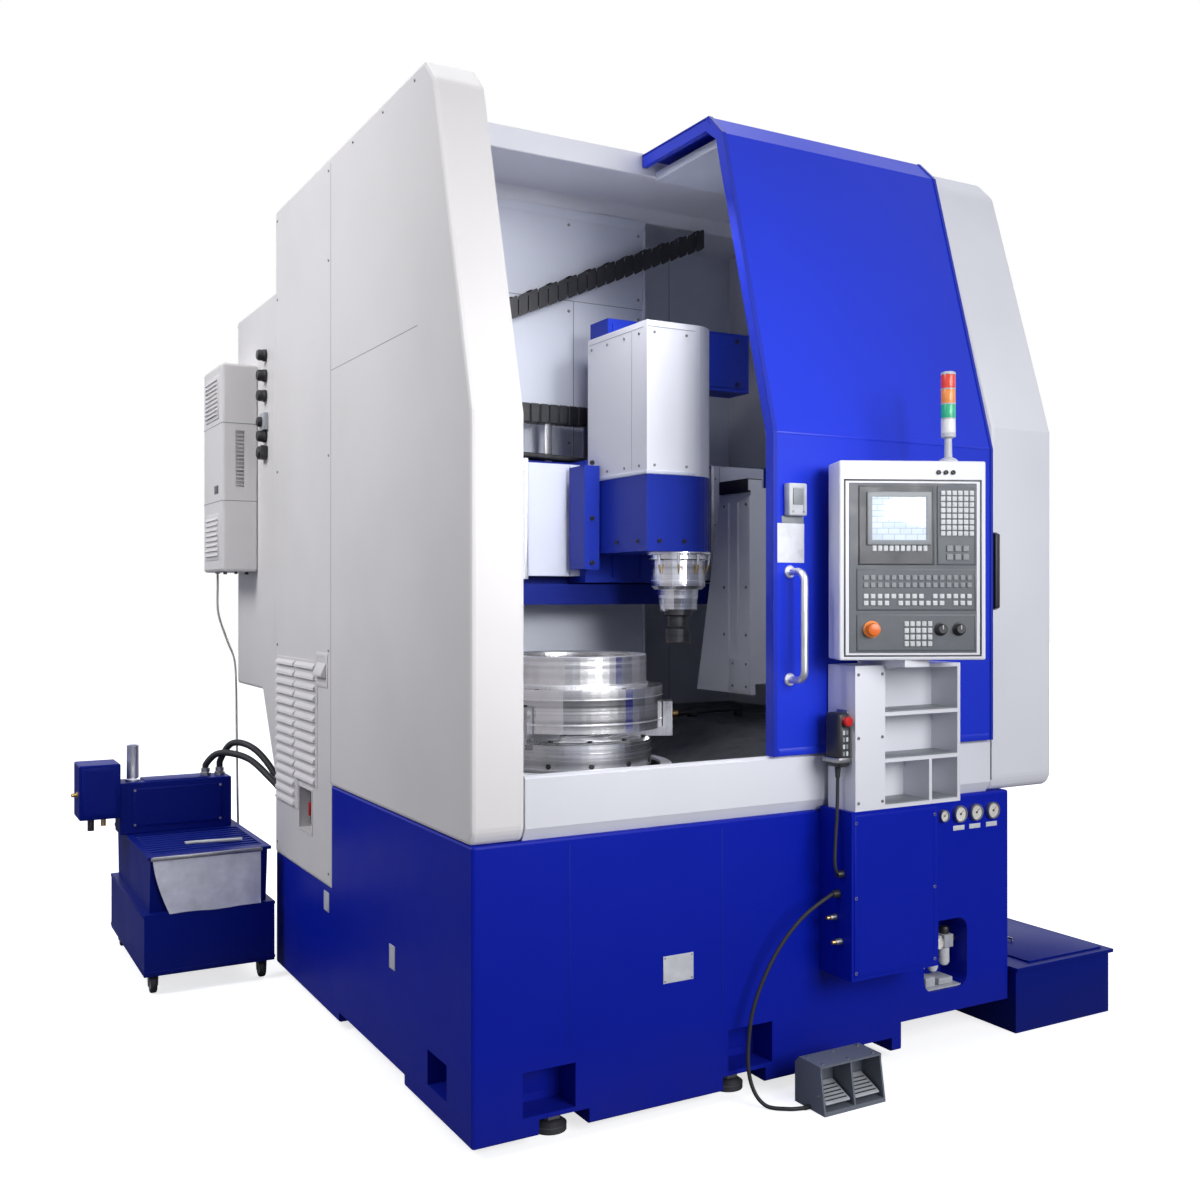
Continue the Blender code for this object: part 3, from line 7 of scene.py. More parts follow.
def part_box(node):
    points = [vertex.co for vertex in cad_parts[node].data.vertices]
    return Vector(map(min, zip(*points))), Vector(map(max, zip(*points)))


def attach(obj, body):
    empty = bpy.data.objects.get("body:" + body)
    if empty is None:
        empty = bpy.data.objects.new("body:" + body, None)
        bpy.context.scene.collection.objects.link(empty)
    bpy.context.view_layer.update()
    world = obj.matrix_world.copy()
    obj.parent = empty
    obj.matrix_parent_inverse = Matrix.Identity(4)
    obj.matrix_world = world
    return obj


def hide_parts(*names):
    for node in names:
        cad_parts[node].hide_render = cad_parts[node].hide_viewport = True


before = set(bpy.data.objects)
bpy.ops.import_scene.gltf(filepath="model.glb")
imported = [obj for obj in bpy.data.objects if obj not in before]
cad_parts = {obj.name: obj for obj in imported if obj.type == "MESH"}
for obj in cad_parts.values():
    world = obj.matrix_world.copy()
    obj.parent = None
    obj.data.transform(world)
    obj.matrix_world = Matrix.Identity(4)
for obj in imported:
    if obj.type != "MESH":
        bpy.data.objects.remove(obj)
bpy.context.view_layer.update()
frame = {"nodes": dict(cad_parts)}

nodes = frame["nodes"]
# the machine's own frame: left side, front plane and underside of the base
origin = Vector((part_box("left_side_housing")[0].x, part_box("front_sill")[0].y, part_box("base_casting")[0].z))
consoleFrame = {"pivot": (1.371, -0.197), "turn": -25.0}     # machine frame, and degrees about Z


def at(x, y, z):                  # a place in the machine's frame
    return origin + Vector((x, y, z))


def own(point):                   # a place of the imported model, in the machine's frame
    return point - origin


def corners(node):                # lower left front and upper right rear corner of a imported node
    low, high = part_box(node)
    return own(low), own(high)


def middleOf(node):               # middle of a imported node, seen from above
    low, high = corners(node)
    return (low.x + high.x) / 2, (low.y + high.y) / 2


# Modelling helpers: each one leaves a mesh in place with its object at the origin.

def deselectAll():
    if bpy.context.object and bpy.context.object.mode != "OBJECT":
        bpy.ops.object.mode_set(mode="OBJECT")
    bpy.ops.object.select_all(action="DESELECT")


def pick(*objs):
    deselectAll()
    for obj in objs:
        obj.select_set(True)
    bpy.context.view_layer.objects.active = objs[0]
    return objs[0]


def applyTransform(obj):
    pick(obj)
    bpy.ops.object.transform_apply(location=True, rotation=True, scale=True)


def useModifier(obj, kind, **values):
    pick(obj)
    modifier = obj.modifiers.new(kind.lower(), kind)
    for key, value in values.items():
        setattr(modifier, key, value)
    bpy.ops.object.modifier_apply(modifier=modifier.name)


def soften(obj, width, steps=2, angle=30):
    useModifier(obj, "BEVEL", width=width, segments=steps, limit_method="ANGLE",
                angle_limit=math.radians(angle))
    return obj


def addBlock(low, high, bevel=0.0, steps=2):
    deselectAll()
    a, b = at(*low), at(*high)
    bpy.ops.mesh.primitive_cube_add(size=1, location=(a + b) / 2, scale=b - a)
    obj = bpy.context.object
    applyTransform(obj)
    if bevel:
        soften(obj, bevel, steps)
    return obj


def addBar(start, end, radius, sides=24, bevel=0.0, endRadius=None):
    deselectAll()
    a, b = at(*start), at(*end)
    turn = (b - a).to_track_quat("Z", "Y").to_euler()
    far = radius if endRadius is None else endRadius
    bpy.ops.mesh.primitive_cone_add(vertices=sides, radius1=radius, radius2=far, depth=(b - a).length,
                                    location=(a + b) / 2, rotation=turn)
    obj = bpy.context.object
    applyTransform(obj)
    if bevel:
        soften(obj, bevel, 2, 40)
    return obj


def addOutline(points, reach, bevel=0.0, steps=2):        # flat outline, extruded by the vector reach
    deselectAll()
    bpy.ops.mesh.primitive_circle_add(vertices=len(points), radius=1, fill_type="NGON")
    obj = bpy.context.object
    for vertex, point in zip(obj.data.vertices, points):
        vertex.co = at(*point)
    bpy.ops.object.mode_set(mode="EDIT")
    bpy.ops.mesh.select_all(action="SELECT")
    bpy.ops.mesh.extrude_region_move(TRANSFORM_OT_translate={"value": reach})
    bpy.ops.mesh.select_all(action="SELECT")
    bpy.ops.mesh.normals_make_consistent(inside=False)
    bpy.ops.object.mode_set(mode="OBJECT")
    if bevel:
        soften(obj, bevel, steps)
    return obj


def addTurned(points, centre, direction=(0, 0, 1), steps=48):     # points are (radius, height)
    deselectAll()
    bpy.ops.mesh.primitive_circle_add(vertices=len(points), radius=1, fill_type="NOTHING")
    obj = bpy.context.object
    for vertex, (radius, height) in zip(obj.data.vertices, points):
        vertex.co = (radius, 0, height)
    bpy.ops.object.mode_set(mode="EDIT")
    bpy.ops.mesh.select_all(action="SELECT")
    bpy.ops.mesh.spin(steps=steps, angle=2 * math.pi, center=(0, 0, 0), axis=(0, 0, 1))
    bpy.ops.mesh.select_all(action="SELECT")
    bpy.ops.mesh.remove_doubles(threshold=0.00005)
    bpy.ops.mesh.dissolve_degenerate(threshold=0.00002)
    bpy.ops.mesh.delete_loose()
    bpy.ops.mesh.select_all(action="SELECT")
    bpy.ops.mesh.normals_make_consistent(inside=False)
    bpy.ops.object.mode_set(mode="OBJECT")
    turn = Vector(direction).to_track_quat("Z", "Y").to_matrix().to_4x4()
    obj.matrix_world = Matrix.Translation(at(*centre)) @ turn
    applyTransform(obj)
    return obj


def insetTop(obj, side, border, depth):       # insets the faces that look along side and moves them by depth
    pick(obj)
    bpy.ops.object.mode_set(mode="EDIT")
    bpy.ops.mesh.select_all(action="DESELECT")
    bpy.ops.object.mode_set(mode="OBJECT")
    along = Vector(side).normalized()
    reach = max(along.dot(face.center) for face in obj.data.polygons)
    for face in obj.data.polygons:
        face.select = face.normal.dot(along) > 0.99 and along.dot(face.center) > reach - 0.0005
    bpy.ops.object.mode_set(mode="EDIT")
    bpy.ops.mesh.select_mode(type="FACE")
    bpy.ops.mesh.inset(thickness=border, depth=0)
    bpy.ops.mesh.extrude_region_move(TRANSFORM_OT_translate={"value": along * depth})
    bpy.ops.object.mode_set(mode="OBJECT")
    return obj


def carve(obj, tool):             # cuts the tool out of the object
    pick(obj)
    modifier = obj.modifiers.new("carve", "BOOLEAN")
    modifier.operation = "DIFFERENCE"
    modifier.solver = "EXACT"
    modifier.object = tool
    bpy.ops.object.modifier_apply(modifier=modifier.name)
    bpy.data.objects.remove(tool)
    return obj


def copies(source, offsets):                  # the source and its copies, each with its own mesh
    made = [source]
    for offset in offsets:
        twin = source.copy()
        twin.data = source.data.copy()
        bpy.context.scene.collection.objects.link(twin)
        twin.location = Vector(offset)
        applyTransform(twin)
        made.append(twin)
    return made


def coat(obj, material):
    obj.data.materials.clear()
    obj.data.materials.append(material)
    return obj


def settle(name, parts, body, material=None, smooth=35):     # joins parts into one finished piece
    parts = parts if isinstance(parts, list) else [parts]
    if material:
        for part in parts:
            coat(part, material)
    pick(*parts)
    if len(parts) > 1:
        bpy.ops.object.join()
    piece = bpy.context.object
    piece.name = name
    piece.data.name = name
    bpy.ops.object.shade_smooth_by_angle(angle=math.radians(smooth))
    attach(piece, body)
    return piece


def turnConsole(obj):             # from a straight console to the swivelled one
    x, y = consoleFrame["pivot"]
    pivot = at(x, y, 0)
    turn = Matrix.Rotation(math.radians(consoleFrame["turn"]), 4, "Z")
    obj.matrix_world = Matrix.Translation(pivot) @ turn @ Matrix.Translation(-pivot) @ obj.matrix_world
    applyTransform(obj)
    return obj


def screwHead(place, direction, radius=0.006, height=0.004):      # hexagon socket screw
    profile = [(0, 0), (radius, 0), (radius, height * 0.8), (radius * 0.88, height), (radius * 0.5, height),
               (radius * 0.5, height * 0.4), (0, height * 0.4)]
    return addTurned(profile, place, direction, steps=12)


def addScrews(places, direction, radius=0.006, height=0.004):     # one screw at each place
    return [screwHead(place, direction, radius, height) for place in places]


def grid(xs, ys, zs):             # places at every mix of the three coordinates
    return [(x, y, z) for x in xs for y in ys for z in zs]


def addBlocks(pairs, bevel=0.0):  # pairs of a low and a high corner
    return [addBlock(low, high, bevel) for low, high in pairs]


def coated(material, parts):      # the parts, all in one material
    return [coat(part, material) for part in parts]


def addCurve(name, stops, radius, resolution):    # round bar or hose along the stops
    curve = bpy.data.curves.new(name, "CURVE")
    curve.dimensions = "3D"
    line = curve.splines.new("POLY")
    line.points.add(len(stops) - 1)
    for place, stop in zip(line.points, stops):
        place.co = (*at(*stop), 1)
    curve.bevel_depth = radius
    curve.bevel_resolution = resolution
    curve.use_fill_caps = True
    obj = bpy.data.objects.new(name, curve)
    bpy.context.scene.collection.objects.link(obj)
    return obj


# Materials: each helper returns a procedural material on object coordinates.

def startMaterial(name, colour, roughness=0.5, metallic=0.0):
    material = bpy.data.materials.new(name)
    material.use_nodes = True
    shader = material.node_tree.nodes["Principled BSDF"]
    shader.inputs["Base Color"].default_value = (*colour, 1)
    shader.inputs["Roughness"].default_value = roughness
    shader.inputs["Metallic"].default_value = metallic
    return material, material.node_tree.nodes, material.node_tree.links, shader


def objectCoordinates(nodes, links, location=(0, 0, 0), scale=(1, 1, 1), rotation=(0, 0, 0)):
    coordinates = nodes.new("ShaderNodeTexCoord")
    mapping = nodes.new("ShaderNodeMapping")
    mapping.inputs["Location"].default_value = location
    mapping.inputs["Rotation"].default_value = rotation
    mapping.inputs["Scale"].default_value = scale
    links.new(coordinates.outputs["Object"], mapping.inputs["Vector"])
    return mapping.outputs["Vector"]


def addNoise(nodes, links, vector, scale, detail=4.0, rough=0.55):
    noise = nodes.new("ShaderNodeTexNoise")
    noise.inputs["Scale"].default_value = scale
    noise.inputs["Detail"].default_value = detail
    noise.inputs["Roughness"].default_value = rough
    links.new(vector, noise.inputs["Vector"])
    return noise.outputs["Fac"]


def addRamp(nodes, links, value, stops):      # stops are (place, colour)
    ramp = nodes.new("ShaderNodeValToRGB")
    elements = ramp.color_ramp.elements
    while len(elements) < len(stops):
        elements.new(0.5)
    for element, (place, colour) in zip(elements, stops):
        element.position = place
        element.color = (*colour, 1)
    links.new(value, ramp.inputs["Fac"])
    return ramp.outputs["Color"]


def addRange(nodes, links, value, low, high, start=0.0, end=1.0):
    spread = nodes.new("ShaderNodeMapRange")
    spread.inputs["From Min"].default_value = start
    spread.inputs["From Max"].default_value = end
    spread.inputs["To Min"].default_value = low
    spread.inputs["To Max"].default_value = high
    links.new(value, spread.inputs["Value"])
    return spread.outputs["Result"]


def addMix(nodes, links, share, first, second, blendType="MIX"):
    mix = nodes.new("ShaderNodeMix")
    mix.data_type = "RGBA"
    mix.blend_type = blendType
    for socket, value in ((mix.inputs[0], share), (mix.inputs[6], first), (mix.inputs[7], second)):
        if isinstance(value, bpy.types.NodeSocket):
            links.new(value, socket)
        elif isinstance(value, tuple):
            socket.default_value = (*value, 1)
        else:
            socket.default_value = value
    return mix.outputs[2]


def addBump(nodes, links, shader, height, strength, distance):
    bump = nodes.new("ShaderNodeBump")
    bump.inputs["Strength"].default_value = strength
    bump.inputs["Distance"].default_value = distance
    links.new(height, bump.inputs["Height"])
    links.new(bump.outputs["Normal"], shader.inputs["Normal"])


def shade(colour, factor):
    return tuple(min(1.0, channel * factor) for channel in colour)


def makeEnamel(name, colour, roughness, peel=0.12, floorDarkening=0.0, floorDarkeningHeight=0.35, specular=0.5):
    material, nodes, links, shader = startMaterial(name, colour, roughness)
    vector = objectCoordinates(nodes, links)
    broad = addNoise(nodes, links, vector, 1.3, 3)
    tone = addRamp(nodes, links, broad, [(0.25, shade(colour, 0.93)), (0.5, colour),
                                         (0.8, shade(colour, 1.05))])
    fine = addNoise(nodes, links, vector, 160, 2)
    specks = addRange(nodes, links, fine, 0.0, 0.05, 0.62, 0.85)
    tone = addMix(nodes, links, specks, tone, shade(colour, 0.8))
    if floorDarkening:                     # darker towards the floor, in noise patches
        split = nodes.new("ShaderNodeSeparateXYZ")
        links.new(vector, split.inputs["Vector"])
        height = addRange(nodes, links, split.outputs["Z"], floorDarkening, 0.0, 0.0, floorDarkeningHeight)
        patches = addNoise(nodes, links, vector, 7, 6, 0.7)
        product = nodes.new("ShaderNodeMath")
        product.operation = "MULTIPLY"
        links.new(height, product.inputs[0])
        links.new(patches, product.inputs[1])
        tone = addMix(nodes, links, product.outputs["Value"], tone, (0.045, 0.04, 0.05))
    links.new(tone, shader.inputs["Base Color"])
    smear = addNoise(nodes, links, vector, 5, 5)
    links.new(addRange(nodes, links, smear, roughness - 0.02, roughness + 0.03, 0.3, 0.7),
              shader.inputs["Roughness"])
    addBump(nodes, links, shader, addNoise(nodes, links, vector, 420, 2), peel, 0.0006)
    shader.inputs["Specular IOR Level"].default_value = specular
    return material


# fine rings about an upright axis
def makeTurnedMetal(name, colour, roughness, centre, pitch=900.0, metallic=1.0):
    material, nodes, links, shader = startMaterial(name, colour, roughness, metallic)
    middle = at(*centre)
    vector = objectCoordinates(nodes, links, location=(-middle.x, -middle.y, 0))
    split = nodes.new("ShaderNodeSeparateXYZ")
    links.new(vector, split.inputs["Vector"])
    flat = nodes.new("ShaderNodeCombineXYZ")
    links.new(split.outputs["X"], flat.inputs["X"])
    links.new(split.outputs["Y"], flat.inputs["Y"])
    radius = nodes.new("ShaderNodeVectorMath")
    radius.operation = "LENGTH"
    links.new(flat.outputs["Vector"], radius.inputs[0])
    rings = nodes.new("ShaderNodeCombineXYZ")
    links.new(radius.outputs["Value"], rings.inputs["X"])
    links.new(split.outputs["Z"], rings.inputs["Z"])
    grooves = addNoise(nodes, links, rings.outputs["Vector"], pitch, 2, 0.6)
    bands = addNoise(nodes, links, rings.outputs["Vector"], 45, 3, 0.6)
    tone = addRamp(nodes, links, bands, [(0.3, shade(colour, 0.62)), (0.5, colour),
                                         (0.72, shade(colour, 1.22))])
    stain = addNoise(nodes, links, vector, 9, 5)
    tone = addMix(nodes, links, addRange(nodes, links, stain, 0.0, 0.45, 0.5, 0.75), tone, shade(colour, 0.4))
    links.new(tone, shader.inputs["Base Color"])
    links.new(addRange(nodes, links, bands, roughness - 0.08, roughness + 0.14, 0.3, 0.7),
              shader.inputs["Roughness"])
    addBump(nodes, links, shader, grooves, 0.25, 0.0004)
    return material


# grain stretches the brushing along an axis
def makeMetal(name, colour, roughness, grain=(1, 1, 1), metallic=1.0, wear=0.25):
    material, nodes, links, shader = startMaterial(name, colour, roughness, metallic)
    vector = objectCoordinates(nodes, links, scale=grain)
    brushing = addNoise(nodes, links, vector, 240, 3, 0.6)
    tone = addRamp(nodes, links, brushing, [(0.3, shade(colour, 0.8)), (0.7, shade(colour, 1.1))])
    stain = addNoise(nodes, links, objectCoordinates(nodes, links), 12, 5)
    tone = addMix(nodes, links, addRange(nodes, links, stain, 0.0, wear, 0.5, 0.75), tone,
                  shade(colour, 0.35))
    links.new(tone, shader.inputs["Base Color"])
    links.new(addRange(nodes, links, stain, roughness - 0.06, roughness + 0.16, 0.3, 0.7),
              shader.inputs["Roughness"])
    addBump(nodes, links, shader, brushing, 0.12, 0.0003)
    return material


def makePlastic(name, colour, roughness, texture=600.0, depth=0.2, glow=0.0):
    material, nodes, links, shader = startMaterial(name, colour, roughness)
    vector = objectCoordinates(nodes, links)
    grain = addNoise(nodes, links, vector, texture, 2)
    wipe = addNoise(nodes, links, vector, 18, 4)
    links.new(addRamp(nodes, links, wipe, [(0.3, shade(colour, 0.85)), (0.7, shade(colour, 1.1))]),
              shader.inputs["Base Color"])
    links.new(addRange(nodes, links, wipe, roughness - 0.08, roughness + 0.1, 0.3, 0.7),
              shader.inputs["Roughness"])
    addBump(nodes, links, shader, grain, depth, 0.0004)
    if glow:
        shader.inputs["Emission Color"].default_value = (*colour, 1)
        shader.inputs["Emission Strength"].default_value = glow
    return material


print("stage: materials")
doorBlue = makeEnamel("doorBlue", (0.010, 0.034, 0.60), 0.32, specular=0.26)
edgeBlue = makeEnamel("edgeBlue", (0.008, 0.025, 0.40), 0.3, specular=0.3)
baseBlue = makeEnamel("baseBlue", (0.003, 0.014, 0.40), 0.36, floorDarkening=0.35, floorDarkeningHeight=0.28, specular=0.12)
# the base's blue paint, darkened for the filter cart and the coolant tank, which stand in shade: painted shade
shadedCartBlue = makeEnamel("shadedCartBlue", (0.003, 0.012, 0.22), 0.40, floorDarkening=0.3, floorDarkeningHeight=0.2, specular=0.08)
beamBlue = makeEnamel("beamBlue", (0.006, 0.016, 0.19), 0.42, specular=0.12)
railBlue = makeEnamel("railBlue", (0.010, 0.030, 0.36), 0.40, specular=0.2)
# one white paint in two copies: the bluer one for the lit front, the warmer one for the shaded left side; these
# tints are painted light and shade
housingWhite = makeEnamel("housingWhite", (0.76, 0.77, 0.83), 0.42)
shadedSideWhite = makeEnamel("shadedSideWhite", (0.80, 0.78, 0.785), 0.48)
chamberGrey = makeEnamel("chamberGrey", (0.62, 0.65, 0.74), 0.5)
guardGrey = makeEnamel("guardGrey", (0.86, 0.87, 0.90), 0.45)
pedalGrey = makeEnamel("pedalGrey", (0.16, 0.18, 0.22), 0.45)
coverWhite = makeEnamel("coverWhite", (0.60, 0.63, 0.74), 0.46, peel=0.05, specular=0.3)
panGrey = makeMetal("panGrey", (0.10, 0.105, 0.115), 0.42, grain=(1, 0.2, 1), metallic=0.5, wear=0.5)
padIron = makeMetal("padIron", (0.09, 0.09, 0.10), 0.5, metallic=0.6)
chuckCentre = (0.64, 0.62, 0)
spindleCentre = (1.064, 0.62, 0)
chuckSteel = makeTurnedMetal("chuckSteel", (0.68, 0.68, 0.70), 0.22, chuckCentre)
ringSteel = makeTurnedMetal("ringSteel", (0.84, 0.83, 0.83), 0.2, chuckCentre, pitch=700)
spindleSteel = makeTurnedMetal("spindleSteel", (0.80, 0.80, 0.82), 0.2, spindleCentre)
toolIron = makeTurnedMetal("toolIron", (0.07, 0.07, 0.075), 0.36, spindleCentre, metallic=0.7)
jawSteel = makeMetal("jawSteel", (0.55, 0.55, 0.57), 0.28, grain=(1, 1, 0.1))
brightSteel = makeMetal("brightSteel", (0.80, 0.80, 0.82), 0.34, grain=(1, 1, 0.05), wear=0.06)
screwSteel = makeMetal("screwSteel", (0.32, 0.32, 0.33), 0.35)
blackScrew = makeMetal("blackScrew", (0.03, 0.03, 0.032), 0.4, metallic=0.6)
blackRubber = makePlastic("blackRubber", (0.016, 0.016, 0.018), 0.62)
blackPlastic = makePlastic("blackPlastic", (0.022, 0.022, 0.025), 0.42)
panelPlastic = makePlastic("panelPlastic", (0.085, 0.095, 0.11), 0.46, texture=900, depth=0.12)
darkPanel = makePlastic("darkPanel", (0.035, 0.038, 0.045), 0.4, texture=900, depth=0.1)
keyWhite = makePlastic("keyWhite", (0.62, 0.64, 0.66), 0.42)
keyGrey = makePlastic("keyGrey", (0.24, 0.26, 0.28), 0.45)
switchGrey = makePlastic("switchGrey", (0.50, 0.52, 0.56), 0.4)
platePale = makePlastic("platePale", (0.66, 0.68, 0.72), 0.32, texture=300, depth=0.03)
stopOrange = makePlastic("stopOrange", (0.80, 0.16, 0.02), 0.3, depth=0.05)
stopRed = makePlastic("stopRed", (0.62, 0.02, 0.02), 0.3, depth=0.05)
lampRed = makePlastic("lampRed", (0.72, 0.06, 0.035), 0.18, depth=0.04, glow=0.15)
lampAmber = makePlastic("lampAmber", (0.78, 0.26, 0.06), 0.18, depth=0.04, glow=0.15)
lampGreen = makePlastic("lampGreen", (0.03, 0.42, 0.22), 0.18, depth=0.04, glow=0.12)
lampWhite = makePlastic("lampWhite", (0.78, 0.79, 0.80), 0.2, depth=0.04)
hosePale = makePlastic("hosePale", (0.60, 0.60, 0.54), 0.35, depth=0.05)
filterCloth = makePlastic("filterCloth", (0.80, 0.81, 0.90), 0.75, texture=380, depth=0.5)
gaugeFace = makePlastic("gaugeFace", (0.80, 0.79, 0.74), 0.25, depth=0.02)
brass = makeMetal("brass", (0.62, 0.42, 0.16), 0.3)
screenValues = {"Scale": 14, "Mortar Size": 0.012, "Color1": (0.60, 0.69, 0.80, 1),
                "Color2": (0.70, 0.78, 0.86, 1),
                "Mortar": (0.35, 0.45, 0.58, 1)}


def makeScreen():                 # a lit screen with plain pale fields
    material, nodes, links, shader = startMaterial("screenGlow", (0.62, 0.70, 0.80), 0.12)
    vector = objectCoordinates(nodes, links, rotation=(0, 0, math.radians(25)))
    bricks = nodes.new("ShaderNodeTexBrick")
    for socket, value in screenValues.items():
        bricks.inputs[socket].default_value = value
    split = nodes.new("ShaderNodeSeparateXYZ")
    links.new(vector, split.inputs["Vector"])
    flat = nodes.new("ShaderNodeCombineXYZ")
    links.new(split.outputs["X"], flat.inputs["X"])
    links.new(split.outputs["Z"], flat.inputs["Y"])
    links.new(flat.outputs["Vector"], bricks.inputs["Vector"])
    links.new(bricks.outputs["Color"], shader.inputs["Base Color"])
    links.new(bricks.outputs["Color"], shader.inputs["Emission Color"])
    shader.inputs["Emission Strength"].default_value = 0.26
    shader.inputs["Coat Weight"].default_value = 0.6
    return material


screenGlow = makeScreen()


def dress(material, *names):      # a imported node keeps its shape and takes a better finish
    for name in names:
        for slot in nodes[name].material_slots:
            slot.material = material


dress(doorBlue, "door_panel")
dress(baseBlue, "base_casting", "duct_box")
# the cart and the coolant tank take the darkened copy of the blue, as painted shade
dress(shadedCartBlue, "coolant_tank", "cart_tank", "cart_filter_box", "cart_pump_box")
dress(beamBlue, "cross_rail")
dress(railBlue, "saddle", "head_housing")
dress(housingWhite, "front_sill", "right_side_housing", "shelf_cabinet", "console_housing", "head_cover",
      "roof_panel")
# the left housing, cabinet and cooler take the white copy tinted warm as painted shade
dress(shadedSideWhite, "left_side_housing", "electrical_cabinet", "cabinet_cooler", "louvre_panel")
dress(chamberGrey, "rear_housing", "fixed_front_guard")
dress(guardGrey, "magazine_guard")
dress(pedalGrey, "foot_switch")
dress(coverWhite, *[f"{side}_way_cover_{n}" for side in ("left", "right") for n in (1, 2, 3)])
dress(panGrey, "chip_pan")
dress(padIron, *[f"levelling_pad_{n}" for n in range(1, 7)])
dress(chuckSteel, "chuck_body")
dress(ringSteel, "clamped_ring")
dress(jawSteel, "chuck_jaw_1", "chuck_jaw_2", "chuck_jaw_3")
dress(spindleSteel, "spindle_nose")
dress(toolIron, "tool_holder")
dress(brightSteel, "door_handle")
dress(switchGrey, "door_switch")
dress(blackPlastic, "pendant", "cable_duct")
dress(panelPlastic, "console_panel")
dress(lampWhite, "signal_tower")
dress(blackRubber, "caster_1", "caster_2", "caster_3", "caster_4")


print("stage: camera, light and floor")
cameraValues = {"place": (-2.26185, -4.257768, 1.53), "turn": 29.44, "lens": 37.23, "shiftY": -5 / 1200}
lightValues = {
    "key": {"place": (1.2, -6.8, 3.3), "aim": (0.2, -0.9, 1.5), "size": 4.0, "spread": 120, "power": 120},
    "fill": {"place": (-5.2, 0.0, 5.4), "aim": (-0.9, 0.5, 2.5), "size": 3.2, "spread": 76, "power": 50},
    "chamber": {"place": (-0.45, -5.0, 2.5), "aim": (-0.3, 0.0, 1.75), "size": 1.2, "spread": 38,
                "power": 5.5},
    "work": {"place": (-0.12, -0.74, 2.90), "aim": (-0.05, -0.5, 1.2), "size": 0.3, "spread": 140,
             "power": 6.5},
    "top": {"place": (0.2, 0.4, 7.0), "aim": (0.0, 0.0, 1.0), "size": 5.0, "spread": 150, "power": 62},
    "rear": {"place": (3.5, 6.5, 4.5), "aim": (0.0, 0.5, 1.5), "size": 4.0, "spread": 150, "power": 150},
}
worldValues = {"colour": (0.86, 0.89, 1.0), "diffuse": 0.17, "mirrored": 1.0}
floorValues = {"size": 60, "z": -0.0008, "colour": (0.82, 0.82, 0.84), "roughness": 0.7,
               "bounce": (0.30, 0.30, 0.32),
               "glow": (0.72, 1.0), "fade": (2.6, 7.0)}      # glow near and far, between these distances


def setCamera():
    data = bpy.data.cameras.new("photoCamera")
    data.sensor_width = 36
    data.lens = cameraValues["lens"]
    data.shift_y = cameraValues["shiftY"]
    data.clip_end = 200
    camera = bpy.data.objects.new("photoCamera", data)
    camera.location = cameraValues["place"]
    camera.rotation_euler = (math.radians(90), 0, -math.radians(cameraValues["turn"]))
    bpy.context.scene.collection.objects.link(camera)
    bpy.context.scene.camera = camera


def setLights():
    for name, values in lightValues.items():
        data = bpy.data.lights.new(name + "Light", "AREA")
        data.shape = "DISK"
        data.size = values["size"]
        data.spread = math.radians(values["spread"])
        data.energy = values["power"]
        lamp = bpy.data.objects.new(name + "Light", data)
        lamp.location = values["place"]
        lamp.visible_camera = False
        aim = Vector(values["aim"]) - Vector(values["place"])
        lamp.rotation_euler = aim.to_track_quat("-Z", "Y").to_euler()
        bpy.context.scene.collection.objects.link(lamp)


# seen by the camera as white, while the light it gives is what lit says
def whiteForCamera(nodes, links, lit, output, socket):
    path = nodes.new("ShaderNodeLightPath")
    seen = nodes.new("ShaderNodeMath")
    seen.operation = "MAXIMUM"
    links.new(path.outputs["Is Camera Ray"], seen.inputs[0])
    links.new(path.outputs["Is Transmission Ray"], seen.inputs[1])
    mix = nodes.new("ShaderNodeMixShader")
    links.new(seen.outputs["Value"], mix.inputs[0])
    links.new(lit, mix.inputs[1])
    links.new(mix.outputs["Shader"], output.inputs[socket])
    return mix


def setWorld():
    world = bpy.data.worlds.new("studio")
    bpy.context.scene.world = world
    world.use_nodes = True
    nodes, links = world.node_tree.nodes, world.node_tree.links
    lit = nodes["Background"]
    lit.inputs["Color"].default_value = (*worldValues["colour"], 1)
    path = nodes.new("ShaderNodeLightPath")
    strength = addRange(nodes, links, path.outputs["Is Glossy Ray"], worldValues["diffuse"],
                        worldValues["mirrored"])
    links.new(strength, lit.inputs["Strength"])
    white = nodes.new("ShaderNodeBackground")
    white.inputs["Color"].default_value = (1, 1, 1, 1)
    white.inputs["Strength"].default_value = 1.0
    mix = whiteForCamera(nodes, links, lit.outputs["Background"], nodes["World Output"], "Surface")
    links.new(white.outputs["Background"], mix.inputs[2])


def setFloor():
    v = floorValues
    deselectAll()
    bpy.ops.mesh.primitive_plane_add(size=v["size"], location=(0, 0, v["z"]))
    floor = bpy.context.object
    floor.name = "studioFloor"
    material, nodes, links, shader = startMaterial("paleFloor", v["colour"], v["roughness"])
    glow = nodes.new("ShaderNodeEmission")
    glow.inputs["Color"].default_value = (1, 1, 1, 1)
    distance = nodes.new("ShaderNodeVectorMath")
    distance.operation = "LENGTH"
    links.new(objectCoordinates(nodes, links), distance.inputs[0])
    links.new(addRange(nodes, links, distance.outputs["Value"], *v["glow"], *v["fade"]),
              glow.inputs["Strength"])
    both = nodes.new("ShaderNodeAddShader")
    links.new(shader.outputs["BSDF"], both.inputs[0])
    links.new(glow.outputs["Emission"], both.inputs[1])
    bounce = nodes.new("ShaderNodeBsdfDiffuse")
    bounce.inputs["Color"].default_value = (*v["bounce"], 1)
    mix = whiteForCamera(nodes, links, bounce.outputs["BSDF"], nodes["Material Output"], "Surface")
    links.new(both.outputs["Shader"], mix.inputs[2])
    coat(floor, material)


setCamera()
setLights()
setWorld()
setFloor()
bpy.context.scene.view_settings.view_transform = "Standard"


